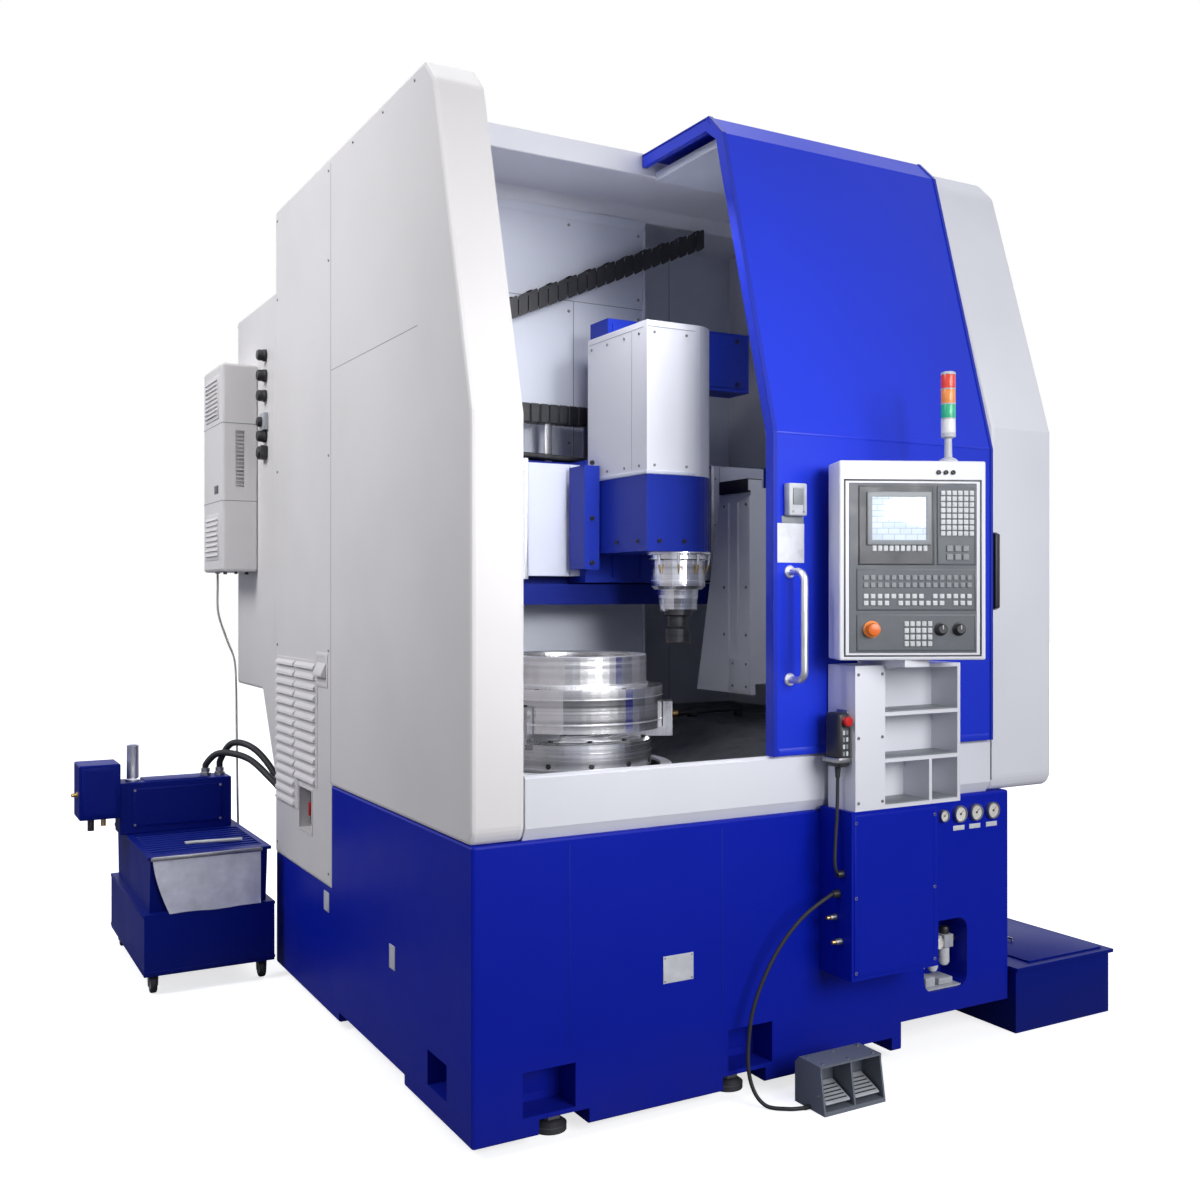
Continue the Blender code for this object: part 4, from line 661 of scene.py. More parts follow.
print("stage: cords and hoses")
cordValues = {
    "switchCord": {"node": "switch_cord", "radius": 0.006, "material": blackRubber, "stiffness": "medium",
                   "farEnd": "object", "lay": "loose",
                   "stops": [(1.1944, -0.088, 0.575), (1.1694, -0.088, 0.575), (1.06, -0.075, 0.51),
                             (0.97, -0.06, 0.405), (0.90, -0.05, 0.26), (0.877, -0.052, 0.12),
                             (0.882, -0.066, 0.03), (0.905, -0.10, -0.0187), (0.95, -0.145, -0.0227),
                             (0.9994, -0.165, -0.0227), (1.0194, -0.165, -0.0227)]},
    "pendantCord": {"node": "pendant_cord", "radius": 0.0055, "material": blackRubber, "stiffness": "medium",
                    "farEnd": "object", "lay": "hanging",
                    "stops": [(1.1875, -0.094, 0.9694), (1.1875, -0.094, 0.9394), (1.1815, -0.098, 0.82),
                              (1.1695, -0.104, 0.73), (1.1655, -0.108, 0.668), (1.1784, -0.108, 0.64),
                              (1.1944, -0.108, 0.64)]},
    "cartHose1": {"node": "cart_hose_1", "radius": 0.014, "material": blackRubber, "stiffness": "stiff",
                  "farEnd": "object", "lay": "hanging",
                  "stops": [(-0.18, 2.47, 0.7156), (-0.18, 2.47, 0.7606), (-0.13, 2.42, 0.815),
                            (-0.04, 2.30, 0.80), (0.03, 2.17, 0.72), (0.085, 2.06, 0.635),
                            (0.10, 2.0306, 0.625), (0.10, 2.0006, 0.625)]},
    "cartHose2": {"node": "cart_hose_2", "radius": 0.014, "material": blackRubber, "stiffness": "stiff",
                  "farEnd": "object", "lay": "hanging",
                  "stops": [(-0.12, 2.47, 0.7156), (-0.12, 2.47, 0.7706), (-0.075, 2.42, 0.855),
                            (0.0, 2.31, 0.83), (0.07, 2.19, 0.70), (0.125, 2.07, 0.50),
                            (0.135, 2.0306, 0.48), (0.135, 2.0006, 0.48)]},
    "drainHose": {"node": "drain_hose", "radius": 0.005, "material": hosePale, "stiffness": "limp",
                  "farEnd": "bare", "lay": "hanging",
                  "stops": [(-0.10, 2.60, 1.5994), (-0.10, 2.60, 1.5394), (-0.096, 2.605, 1.42),
                            (-0.055, 2.62, 1.30), (-0.02, 2.63, 1.21), (-0.012, 2.63, 1.10),
                            (-0.014, 2.61, 0.90), (-0.017, 2.58, 0.60), (-0.017, 2.56, 0.35),
                            (-0.017, 2.55, 0.12)]},
}


def smoothRoute(stops, share=10):         # curve through the stops, straight at both ends
    stops = [Vector(stop) for stop in stops]
    points = [stops[0]]
    for before, here, there, after in zip(stops, stops[1:], stops[2:], stops[3:]):
        for step in range(share):
            t = step / share
            points.append(0.5 * (2 * here + (there - before) * t
                                 + (2 * before - 5 * here + 4 * there - after) * t * t
                                 + (3 * here - before - 3 * there + after) * t ** 3))
    return points + [stops[-2], stops[-1]]


def makeCords():
    for name, values in cordValues.items():
        points = smoothRoute(values["stops"])
        piece = addCurve(name, points, values["radius"], 4)
        piece.data.materials.append(values["material"])
        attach(piece, "machine")
        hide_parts(values["node"])


makeCords()


print("stage: door")
doorValues = {"left": 1.0, "right": 1.94, "front": -0.016, "bottom": 1.002, "crease": 2.002, "leanTop": 3.01,
              "leanY": 0.2563, "top": 3.085, "ridge": 0.3313, "rear": 0.756, "stripWidth": 0.012,
              "stripProud": 0.0035,
              "normals": [(-1, 0), (-0.991, 0.133), (-0.86, 0.51), (-0.38, 0.925), (0, 1)]}
handleValues = {"x": 1.06, "low": 1.2382, "high": 1.5718, "bowY": -0.091, "bar": 0.0115, "bend": 0.03,
                "bendSteps": 6,
                "foot": [(0, 0), (0.02, 0), (0.02, 0.005), (0.017, 0.0075), (0.0115, 0.0075), (0, 0.0075)]}
switchValues = {"left": 1.038, "right": 1.108, "front": -0.046, "depth": 0.0297, "low": 1.745, "high": 1.845,
                "plate": ((1.012, -0.0175, 1.600), (1.118, -0.0155, 1.722)),
                "strip": ((1.030, -0.0185, 1.722), (1.115, -0.0155, 1.745))}


def makeDoorTrim():               # folded strip along the door's edges, and the seams of its sheets
    v = doorValues
    face = [(v["front"], v["bottom"]), (v["front"], v["crease"]), (v["leanY"], v["leanTop"]),
            (v["ridge"], v["top"]),
            (v["rear"], v["top"])]
    left, right, front, width = v["left"], v["right"], v["front"], v["stripWidth"]
    parts = []
    for x0, x1, proud in ((left - v["stripProud"], left + width, v["stripProud"]),
                          (right - width, right, 0.003)):
        for (a, b), (na, nb) in zip(zip(face, face[1:]), zip(v["normals"], v["normals"][1:])):
            outline = [(x0, a[0] + 0.0005, a[1]), (x0, a[0] + na[0] * proud, a[1] + na[1] * proud),
                       (x0, b[0] + nb[0] * proud, b[1] + nb[1] * proud), (x0, b[0] + 0.0005, b[1] - 0.0005)]
            parts.append(addOutline(outline, (x1 - x0, 0, 0)))
    settle("doorEdgeTrim", parts, "door", edgeBlue, smooth=20)
    crease = addBlock((left + 0.013, front - 0.0016, 1.999), (right - 0.013, front + 0.002, 2.006), 0.0008)
    hem = addBlock((left + 0.02, front - 0.002, v["bottom"] + 0.0005),
                   (right - 0.02, front + 0.001, v["bottom"] + 0.024), 0.001)
    settle("doorSeams", [crease, hem], "door", doorBlue)


def makeHandle():                 # bow handle, a bent round bar on two feet
    v = handleValues
    x, y, low, high, bend = v["x"], v["bowY"], v["low"], v["high"], v["bend"]
    front = doorValues["front"]
    stops = [(x, front - 0.002, low), (x, y + bend, low)]
    for step in range(1, v["bendSteps"]):
        angle = math.radians(90 * step / v["bendSteps"])
        stops.append((x, y + bend - bend * math.sin(angle), low + bend - bend * math.cos(angle)))
    stops.append((x, y, low + bend))
    stops += [(px, py, low + high - pz) for px, py, pz in reversed(stops)]
    bow = addCurve("handleBow", stops, v["bar"], 6)
    pick(bow)
    bpy.ops.object.convert(target="MESH")
    parts = [bpy.context.object]
    parts += [addTurned(v["foot"], (x, front - 0.0003, z), (0, -1, 0), steps=32) for z in (low, high)]
    piece = settle("doorBowHandle", parts, "door", brightSteel)
    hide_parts("door_handle")


def makeDoorSwitch():             # interlock switch with a window, and a plain plate under it
    v = switchValues
    x0, x1, y0, z0, z1 = v["left"], v["right"], v["front"], v["low"], v["high"]
    case = addBlock((x0, y0, z0), (x1, y0 + v["depth"], z1), 0.005, 3)
    insetTop(case, (0, -1, 0), 0.008, -0.003)
    window = addBlock((x0 + 0.016, y0 - 0.0005, z0 + 0.034), (x1 - 0.016, y0 + 0.006, z1 - 0.016), 0.002)
    screws = addScrews(grid((x0 + 0.014, x1 - 0.014), (y0 + 0.0015,), (z0 + 0.012,)), (0, -1, 0), 0.004,
                       0.003)
    parts = [coat(case, switchGrey), coat(window, keyGrey)] + coated(screwSteel, screws)
    piece = settle("doorSwitchCase", parts, "door")
    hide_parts("door_switch")
    plate = insetTop(addBlock(*v["plate"], 0.0006), (0, -1, 0), 0.006, -0.0004)
    settle("doorBarePlate", plate, "door", platePale)
    settle("doorSwitchStrip", addBlock(*v["strip"], 0.0008), "door", keyGrey)


makeDoorTrim()
makeHandle()
makeDoorSwitch()


print("stage: console")
consoleValues = {
    "front": -0.072, "bezelProud": 0.003, "screen": (861, 496, 923, 542), "screenRim": 0.012,
    "bezels": (("screenBezel", (848, 486, 931, 566)), ("keyBezel", (934, 486, 977, 566)),
               ("middleBand", (846, 570, 977, 612)), ("lowerBand", (846, 616, 977, 653))),
    "stopButton": (862, 631), "knobs": ((938, 631), (958, 631)), "knobRadius": 0.017,
                 "sockets": (936, 944, 952),
    "frameStrips": ((-0.214, 0.214, 1.313, 1.318), (-0.214, 0.214, 1.846, 1.851),
                    (-0.214, -0.209, 1.318, 1.846), (0.209, 0.214, 1.318, 1.846)),
}
keyFields = {                     # box on the panel's grid, columns, rows, share of a cell, finish, height
    "softKeys": ((862, 545, 924, 553), 10, 1, 0.72, keyWhite, 0.004),
    "letterKeys": ((937, 490, 975, 537), 6, 8, 0.78, keyWhite, 0.006),
    "arrowKeys": ((943, 545, 970, 562), 3, 2, 0.72, keyGrey, 0.006),
    "modeKeys": ((852, 575, 973, 590), 16, 2, 0.66, keyGrey, 0.006),
    "axisKeys": ((852, 594, 973, 608), 16, 2, 0.66, keyWhite, 0.006),
    "feedKeys": ((897, 622, 929, 649), 5, 4, 0.74, keyWhite, 0.006),
}
missingKeys = {"axisKeys": ((4, 0), (9, 1), (12, 0))}      # columns and rows left empty


def consolePlace(px, py):         # from the panel's grid to metres across and up
    return -0.198 + (px - 838) / 140 * 0.396, 1.84 - (py - 483) / 172 * 0.516


def consoleSpan(box):
    x0, z1 = consolePlace(box[0], box[1])
    x1, z0 = consolePlace(box[2], box[3])
    return x0, x1, z0, z1


def consoleBlock(x0, x1, z0, z1, y0, y1, bevel=0.001, steps=2):
    cx, cy = consoleFrame["pivot"]
    return addBlock((cx + x0, cy + y0, z0), (cx + x1, cy + y1, z1), bevel, steps)


def settleOnConsole(name, parts, material=None):          # joined straight, then turned with the console
    pick(*parts)
    if len(parts) > 1:
        bpy.ops.object.join()
    return settle(name, turnConsole(bpy.context.object), "console", material)


def makeKeyField(name, box, columns, rows, share, material, height):
    x0, x1, z0, z1 = consoleSpan(box)
    dx, dz = (x1 - x0) / columns, (z1 - z0) / rows
    front = consoleValues["front"]
    first = consoleBlock(x0 + dx * (1 - share) / 2, x0 + dx * (1 + share) / 2, z0 + dz * (1 - share) / 2,
                         z0 + dz * (1 + share) / 2, front - height, front + 0.001, 0.0012, 1)
    insetTop(first, (0, -1, 0), min(dx, dz) * 0.16, 0.001)
    left = ((0, 0),) + missingKeys.get(name, ())
    offsets = [(c * dx, 0, r * dz) for c in range(columns) for r in range(rows) if (c, r) not in left]
    settleOnConsole(name, copies(first, offsets), material)


def makeScreenAndBezels():
    front = consoleValues["front"]
    plates = []
    for name, box in consoleValues["bezels"]:
        plate = consoleBlock(*consoleSpan(box), front - consoleValues["bezelProud"], front + 0.002, 0.0015)
        insetTop(plate, (0, -1, 0), 0.004, -0.0012)
        plates.append(coat(turnConsole(plate), darkPanel if name == "screenBezel" else panelPlastic))
    settle("consoleBezels", plates, "console")
    x0, x1, z0, z1 = consoleSpan(consoleValues["screen"])
    rim = consoleValues["screenRim"]
    frameRing = consoleBlock(x0 - rim, x1 + rim, z0 - rim, z1 + rim, front - 0.009, front, 0.003, 3)
    insetTop(frameRing, (0, -1, 0), rim, -0.005)
    settle("screenFrame", turnConsole(frameRing), "console", keyGrey)
    glass = consoleBlock(x0 + 0.0005, x1 - 0.0005, z0 + 0.0005, z1 - 0.0005, front - 0.0055, front - 0.0035,
                         0.0006)
    settle("screenGlass", turnConsole(glass), "console", screenGlow)


def makeButtons():                # emergency stop, override knobs and the sockets in the header
    cx, cy = consoleFrame["pivot"]
    face = cy + consoleValues["front"] - 0.002
    x, z = consolePlace(*consoleValues["stopButton"])
    ring = addTurned([(0, 0), (0.026, 0), (0.026, 0.004), (0.022, 0.007), (0, 0.007)], (cx + x, face, z),
                     (0, -1, 0))
    head = addTurned([(0, 0.006), (0.009, 0.006), (0.009, 0.018), (0.019, 0.020), (0.0205, 0.026),
                      (0.018, 0.032), (0.010, 0.034), (0, 0.0345)], (cx + x, face, z), (0, -1, 0))
    # the ring takes the amber lamp finish, and its glow is a painted glow on a part that is no lamp
    settleOnConsole("stopButton", [coat(ring, lampAmber), coat(head, stopOrange)])
    knobs = []
    r = consoleValues["knobRadius"]
    for spot in consoleValues["knobs"]:
        x, z = consolePlace(*spot)
        skirt = addTurned([(0, 0), (r + 0.004, 0), (r + 0.003, 0.003), (r, 0.004), (r * 0.86, 0.018),
                           (r * 0.7, 0.021), (0, 0.021)], (cx + x, face, z), (0, -1, 0), steps=24)
        mark = addBlock((cx + x - 0.0015, face - 0.0225, z), (cx + x + 0.0015, face - 0.02, z + r * 0.75),
                        0.0004)
        knobs += [coat(skirt, blackPlastic), coat(mark, keyWhite)]
    settleOnConsole("overrideKnobs", knobs)
    sockets = []
    for px in consoleValues["sockets"]:
        x, _ = consolePlace(px, 475)
        sockets.append(addTurned([(0, 0), (0.007, 0), (0.007, 0.004), (0.0045, 0.0055), (0.0045, 0.002),
                                  (0, 0.002)],
                                 (cx + x, cy - 0.0702, 1.873), (0, -1, 0), steps=20))
    settleOnConsole("headerSockets", sockets, blackPlastic)


def makeConsoleCase():            # dark frame round the panel, rear cover and the pivot under the case
    cx, cy = consoleFrame["pivot"]
    strips = [consoleBlock(*strip, -0.0722, -0.0685, 0.001) for strip in consoleValues["frameStrips"]]
    settleOnConsole("panelFrame", strips, darkPanel)
    back = insetTop(consoleBlock(-0.17, 0.17, 1.40, 1.82, 0.0602, 0.066, 0.002), (0, 1, 0), 0.012, -0.002)
    screws = addScrews(grid((cx - 0.158, cx + 0.158), (cy + 0.064,), (1.412, 1.808)), (0, 1, 0), 0.006, 0.004)
    settleOnConsole("consoleRearCover", [coat(back, housingWhite)] + coated(screwSteel, screws))
    settle("consolePivot", addBar((cx, cy, 1.2903), (cx, cy, 1.3017), 0.042, 40, 0.002), "machine",
           screwSteel)


def makeTower():                  # beacon with four lenses and pale separators on a short stem
    x, y = middleOf("signal_tower")
    base = corners("signal_tower")[0].z
    foot = [(0, 0), (0.030, 0), (0.030, 0.006), (0.024, 0.012), (0.012, 0.018), (0.011, 0.075), (0.022, 0.08),
            (0.0228, 0.092), (0, 0.092)]
    lens = [(0, 0), (0.0215, 0), (0.0222, 0.003), (0.0222, 0.039), (0.0215, 0.042), (0, 0.042)]
    ring = [(0, 0.042), (0.0229, 0.042), (0.0229, 0.046), (0, 0.046)]
    cap = [(0, 0), (0.0226, 0), (0.0216, 0.004), (0.016, 0.0062), (0, 0.0065)]
    parts = [coat(addTurned(foot, (x, y, base)), switchGrey)]
    z = base + 0.0925
    for material in (lampWhite, lampGreen, lampAmber, lampRed):
        parts += [coat(addTurned(lens, (x, y, z)), material), coat(addTurned(ring, (x, y, z)), switchGrey)]
        z += 0.046
    parts.append(coat(addTurned(cap, (x, y, z)), switchGrey))
    piece = settle("signalBeacon", parts, "console")
    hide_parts("signal_tower")


makeScreenAndBezels()
for name, row in keyFields.items():
    makeKeyField(name, *row)
makeButtons()
makeConsoleCase()
makeTower()


print("stage: base fittings")
gaugeValues = {"x": (1.725, 1.800, 1.875, 1.955), "z": 0.756, "radius": 0.029, "firstShare": 0.72,
               "face": 0.0037,
               "plateHalf": 0.026, "plateLow": 0.700, "plateHigh": 0.716}
airValues = {"bowls": ((1.690, 0.060), (1.745, 0.075), (1.798, 0.060)), "y": 0.07, "low": 0.290,
             "high": 0.335,
             "tray": (((1.665, 0.012, 0.1675), (1.82, 0.115, 0.1735), 0.002),
                      ((1.675, 0.03, 0.174), (1.72, 0.10, 0.205), 0.004),
                      ((1.735, 0.03, 0.174), (1.80, 0.10, 0.196), 0.004))}
plateValues = {"front": ((0.611, 0.0018, 0.359), (0.717, 0.0038, 0.439)),
               "sides": ((0.60, 0.33, 0.05, 0.075), (1.28, 0.36, 0.06, 0.07)),       # y, z, width, height
               "seams": (0.30, 0.82), "seamLow": 0.23, "seamHigh": 0.80, "pockets": (0.235, 0.93)}
jackValues = {"pads": 6, "nut": [(0.0225, 0.0065), (0.036, 0.0065), (0.036, 0.018), (0.033, 0.0205),
                                 (0.0225, 0.0205)],
              "washer": [(0.0352, -0.0005), (0.049, -0.0118), (0.0503, -0.0116), (0.0503, -0.0135),
                         (0.0352, -0.0015)]}


def makeGauges():                 # pressure gauges let into the base's front, with bare plates under them
    v = gaugeValues
    z, face, forward = v["z"], v["face"], (0, -1, 0)
    parts = []
    for number, x in enumerate(v["x"]):
        r = v["radius"] * (v["firstShare"] if number == 0 else 1)
        case = [(0, 0), (r, 0), (r, 0.012), (r * 0.95, 0.015), (r * 0.86, 0.015), (r * 0.84, 0.009),
                (0, 0.009)]
        dial = [(0, 0.0091), (r * 0.83, 0.0091), (r * 0.83, 0.0098), (0, 0.0098)]
        hub = [(0, 0.0098), (r * 0.12, 0.0098), (r * 0.12, 0.0122), (0, 0.0122)]
        needle = [(x - 0.0012, -0.0069, z), (x + 0.0012, -0.0069, z), (x + r * 0.5, -0.0069, z + r * 0.45)]
        parts += [coat(addTurned(case, (x, face, z), forward, steps=40), screwSteel),
                  coat(addTurned(dial, (x, face, z), forward, steps=40), gaugeFace),
                  coat(addOutline(needle, (0, -0.0012, 0)), stopRed if number % 2 else blackPlastic),
                  coat(addTurned(hub, (x, face, z), forward, steps=16), blackPlastic)]
    settle("pressureGauges", parts, "machine")
    plates = [addBlock((x - v["plateHalf"], 0.002, v["plateLow"]),
                       (x + v["plateHalf"], 0.0038, v["plateHigh"]), 0.0005)
              for x in v["x"][1:]]
    settle("gaugeBarePlates", plates, "machine", platePale)


def makeAirUnit():                # filter, regulator and lubricator in the front recess
    v = airValues
    y, low, high = v["y"], v["low"], v["high"]
    parts = []
    for x, drop in v["bowls"]:
        knob = [(0, high), (0.017, high), (0.018, high + 0.015), (0.015, high + 0.023), (0, high + 0.024)]
        bowl = [(0, low), (0.018, low), (0.0185, low - 0.004 - drop * 0.8), (0.013, low - 0.002 - drop),
                (0.004, low - 0.006 - drop), (0, low - 0.006 - drop)]
        parts += [coat(addBlock((x - 0.021, y - 0.025, low), (x + 0.021, y + 0.025, high), 0.004, 3),
                       switchGrey),
                  coat(addTurned(knob, (x, y, 0), steps=28), blackPlastic),
                  coat(addTurned(bowl, (x, y, 0), steps=28), lampWhite)]
    gauge = [(0, 0), (0.019, 0), (0.019, 0.010), (0.016, 0.012), (0.0155, 0.008), (0, 0.008)]
    parts += [coat(addBar((1.6425, y, 0.312), (1.839, y, 0.312), 0.010, 20), brass),
              coat(addBlock((1.66, 0.0955, 0.270), (1.825, 0.1035, 0.345), 0.002), screwSteel),
              coat(addTurned(gauge, (1.745, 0.045, 0.312), (0, -1, 0), steps=28), gaugeFace)]
    settle("airServiceUnit", parts, "machine")
    settle("airUnitTray", [addBlock(*row) for row in v["tray"]], "machine", switchGrey)


def makeBasePlates():             # bare label plate, side plates, seams and the covers in the jacking pockets
    v = plateValues
    plate = insetTop(addBlock(*v["front"], 0.0006), (0, -1, 0), 0.006, -0.0003)
    screws = addScrews(grid((0.617, 0.711), (0.0019,), (0.365, 0.433)), (0, -1, 0), 0.0025, 0.0015)
    settle("frontBarePlate", [coat(plate, platePale)] + coated(screwSteel, screws), "machine")
    sides = [insetTop(addBlock((0.0015, y, z), (0.0038, y + width, z + height), 0.0006), (-1, 0, 0), 0.005,
                      -0.0003)
             for y, z, width, height in v["sides"]]
    settle("sideBarePlates", sides, "machine", platePale)
    seams = [addBlock((x, 0.0028, v["seamLow"]), (x + 0.002, 0.0042, v["seamHigh"]), 0.0004)
             for x in v["seams"]]
    settle("basePanelSeams", seams, "machine", railBlue)
    covers = [addBlock((x - 0.045, 0.098, 0.085), (x + 0.045, 0.1038, 0.155), 0.002) for x in v["pockets"]]
    settle("pocketPlates", covers, "machine", baseBlue)


def makeJackScrews():             # nut and washer on each levelling pad
    parts = []
    for number in range(1, jackValues["pads"] + 1):
        x, y = middleOf(f"levelling_pad_{number}")
        parts.append(addTurned(jackValues["nut"], (x, y, 0), steps=6))
        parts.append(addTurned(jackValues["washer"], (x, y, 0), steps=40))
    settle("jackNuts", parts, "machine", screwSteel)


makeGauges()
makeAirUnit()
makeBasePlates()
makeJackScrews()


print("stage: stand, pendant and foot switch")
standValues = {"mats": (0.8475, 0.9905, 1.1355), "front": -0.1498, "webs": (0.0, 0.07),
               "edges": (((1.2095, -0.1505, 0.838), (1.2135, -0.1485, 1.279)),
                         ((1.646, -0.1505, 0.838), (1.6505, -0.1485, 1.279)))}
pendantValues = {"low": (1.1647, -0.129, 0.970), "high": (1.2097, -0.059, 1.137), "keyRows": 4,
                 "keyStep": 0.0215,
                 "columnStep": 0.0125,
                 "stop": [(0, 0), (0.013, 0), (0.013, 0.004), (0.010, 0.006), (0.010, 0.012), (0.015, 0.014),
                          (0.0155, 0.019), (0.011, 0.023), (0, 0.0235)],
                 "sleeve": [(0.0056, -0.034), (0.0075, -0.034), (0.0095, 0), (0.011, 0.001), (0.0056, 0.001)],
                 "holder": (((1.2045, -0.120, 1.09), (1.2098, -0.068, 1.145)),
                            ((1.160, -0.1335, 0.985), (1.2098, -0.1295, 1.0)),
                            ((1.160, -0.0585, 0.985), (1.2098, -0.0545, 1.0)),
                            ((1.159, -0.1335, 0.985), (1.1625, -0.0545, 1.0)))}
boxValues = {"side": 1.1947, "glands": (       # y, z, radius; the last two are air fittings
                 (-0.108, 0.64, 0.012), (-0.088, 0.575, 0.013), (-0.075, 0.50, 0.011), (-0.10, 0.43, 0.011)),
             "cover": ((1.205, -0.1525, 0.325), (1.545, -0.1498, 0.825))}
pedalValues = {"edge": 0.014, "between": 0.010, "ribs": 5, "ribStep": 0.013, "ribRise": 0.0053,
               "gland": [(0.0062, 0), (0.0072, 0), (0.0072, 0.012), (0.0066, 0.020), (0.0062, 0.020)]}


def makeStandDetails():           # rubber mats, screws and folded edges of the shelf cabinet, webs of its arm
    front = standValues["front"]
    mats = [addBlock((1.333, -0.146, z - 0.0002), (1.512 if z < 0.9 else 1.636, -0.037, z + 0.0035), 0.001)
            for z in standValues["mats"]]
    mats.append(addBlock((1.529, -0.146, 0.8473), (1.636, -0.037, 0.851), 0.001))
    settle("shelfMats", mats, "machine", keyGrey)
    heads = addScrews(grid((1.222, 1.318), (front,), (0.86, 1.06, 1.255)), (0, -1, 0), 0.005, 0.003)
    heads += addScrews(grid((1.212, 1.538), (front,), (0.34, 0.57, 0.80)), (0, -1, 0), 0.006, 0.003)
    settle("standScrews", heads, "machine", screwSteel)
    settle("standEdges", addBlocks(standValues["edges"], 0.0006), "machine", housingWhite)
    web = addOutline([(1.330, -0.1505, 1.2815), (1.330, -0.1505, 1.270), (1.330, -0.215, 1.2815)],
                     (0.012, 0, 0), 0.001)
    settle("armWebs", copies(web, [(standValues["webs"][1], 0, 0)]), "machine", housingWhite)


def makePendant():                # hand-held pendant in its holder, with a red stop, keys and a strain relief
    v = pendantValues
    (x0, y0, z0), (x1, y1, z1) = v["low"], v["high"]
    parts = [coat(addBlock((x0, y0, z0), (x1, y1, z1), 0.011, 4), blackPlastic),
             coat(addBlock((x0 + 0.008, y0 - 0.0012, z0 + 0.03), (x1 - 0.008, y0 + 0.002, z1 - 0.045),
                           0.001), darkPanel)]
    for row in range(v["keyRows"]):
        for column in (0, 1):
            x, z = x0 + 0.012 + column * v["columnStep"], z0 + 0.036 + row * v["keyStep"]
            key = addBlock((x, y0 - 0.0035, z), (x + 0.0085, y0 - 0.001, z + 0.014), 0.001, 1)
            parts.append(coat(key, keyWhite if (row + column) % 2 else keyGrey))
    stop = addTurned(v["stop"], ((x0 + x1) / 2, y0 + 0.001, z1 - 0.024), (0, -1, 0), steps=32)
    sleeve = addTurned(v["sleeve"], (1.1875, -0.094, z0 + 0.0005), steps=24)
    parts += [coat(stop, stopRed), coat(sleeve, blackRubber)]
    piece = settle("handPendant", parts, "machine")
    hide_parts("pendant")
    settle("pendantHolder", addBlocks(v["holder"], 0.001), "machine", screwSteel)


def makeBoxFittings():            # cable glands, air fittings and front cover of the duct box
    v = boxValues
    parts = []
    for y, z, r in v["glands"]:
        gland = [(0.0062, 0), (r, 0), (r, 0.006), (r * 0.92, 0.008), (r * 0.92, 0.016), (r * 0.72, 0.022),
                 (0.0062, 0.022)]
        finish = blackPlastic if z > 0.55 else screwSteel
        parts.append(coat(addTurned(gland, (v["side"], y, z), (-1, 0, 0), steps=24), finish))
    for y, z, _ in v["glands"][2:]:
        nipple = [(0, 0.020), (0.0064, 0.020), (0.0064, 0.034), (0.005, 0.036), (0, 0.036)]
        parts.append(coat(addTurned(nipple, (v["side"], y, z), (-1, 0, 0), steps=20), brass))
    settle("boxGlands", parts, "machine")
    cover = insetTop(addBlock(*v["cover"], 0.0012), (0, -1, 0), 0.010, -0.0006)
    settle("ductBoxCover", cover, "machine", baseBlue)


def makePedals():                 # two ribbed treads under the guard, on pivots, each in its own bay
    v = pedalValues
    low, high = corners("foot_switch")
    middle = (low.x + high.x) / 2
    parts = []
    for x0, x1 in ((low.x + v["edge"], middle - v["between"]), (middle + v["between"], high.x - v["edge"])):
        profile = [(x0, low.y + 0.012, low.z + 0.032), (x0, low.y + 0.012, low.z + 0.026),
                   (x0, high.y - 0.045, low.z + 0.052), (x0, high.y - 0.045, low.z + 0.066)]
        parts.append(coat(addOutline(profile, (x1 - x0, 0, 0), 0.003), switchGrey))
        for step in range(v["ribs"]):
            y, z = low.y + 0.020 + step * v["ribStep"], low.z + 0.0335 + step * v["ribRise"]
            parts.append(coat(addBlock((x0 + 0.006, y, z), (x1 - 0.006, y + 0.005, z + 0.004), 0.001, 1),
                              blackRubber))
        pivot = addBar((x0 - 0.003, high.y - 0.052, low.z + 0.055),
                       (x1 + 0.003, high.y - 0.052, low.z + 0.055), 0.006, 16)
        block = addBlock((x0 + 0.012, high.y - 0.075, low.z + 0.0125),
                         (x1 - 0.012, high.y - 0.0405, low.z + 0.046), 0.003)
        parts += [coat(pivot, screwSteel), coat(block, blackPlastic)]
    settle("pedalTreads", parts, "machine")
    places = grid((low.x + 0.02, middle, high.x - 0.02), (low.y + 0.035, high.y - 0.035), (high.z - 0.0003,))
    heads = addScrews(places, (0, 0, 1), 0.005, 0.003)
    heads += addScrews([(low.x + 0.0003, low.y + 0.03, low.z + 0.05)], (-1, 0, 0), 0.005, 0.003)
    settle("pedalScrews", heads, "machine", screwSteel)
    gland = addTurned(v["gland"], (low.x - 0.0002, -0.165, -0.0227), (-1, 0, 0), steps=20)
    settle("pedalGland", gland, "machine", blackPlastic)


makeStandDetails()
makePendant()
makeBoxFittings()
makePedals()


print("stage: left side")
glandValues = {"y": 2.15, "rows": ((2.505, 0.026), (2.42, 0.027), (2.335, 0.026), (2.225, 0.024),
                                   (2.165, 0.026), (2.095, 0.028))}
mainSwitchValues = {"y": 1.56, "z": 0.69, "disc": [(0, 0), (0.032, 0), (0.032, 0.004), (0.028, 0.007),
                                                   (0.020, 0.008), (0.020, 0.012), (0, 0.012)]}
coolerValues = {"slats": 14, "slatStep": 0.0163, "seams": (0.30, 0.63), "inset": 0.055, "slotInset": 0.068,
                "grilles": {"coolerGrille": {"foot": 0.655, "head": 0.842, "proud": 0.004, "first": 0.670,
                                             "step": 0.0185,
                                             "count": 9, "reach": (0.0035, 0.011), "tall": 0.013},
                            "coolerIntake": {"foot": 0.05, "head": 0.25, "proud": 0.003, "first": 0.066,
                                             "step": 0.022,
                                             "count": 8, "reach": (0.0025, 0.010), "tall": 0.015}}}
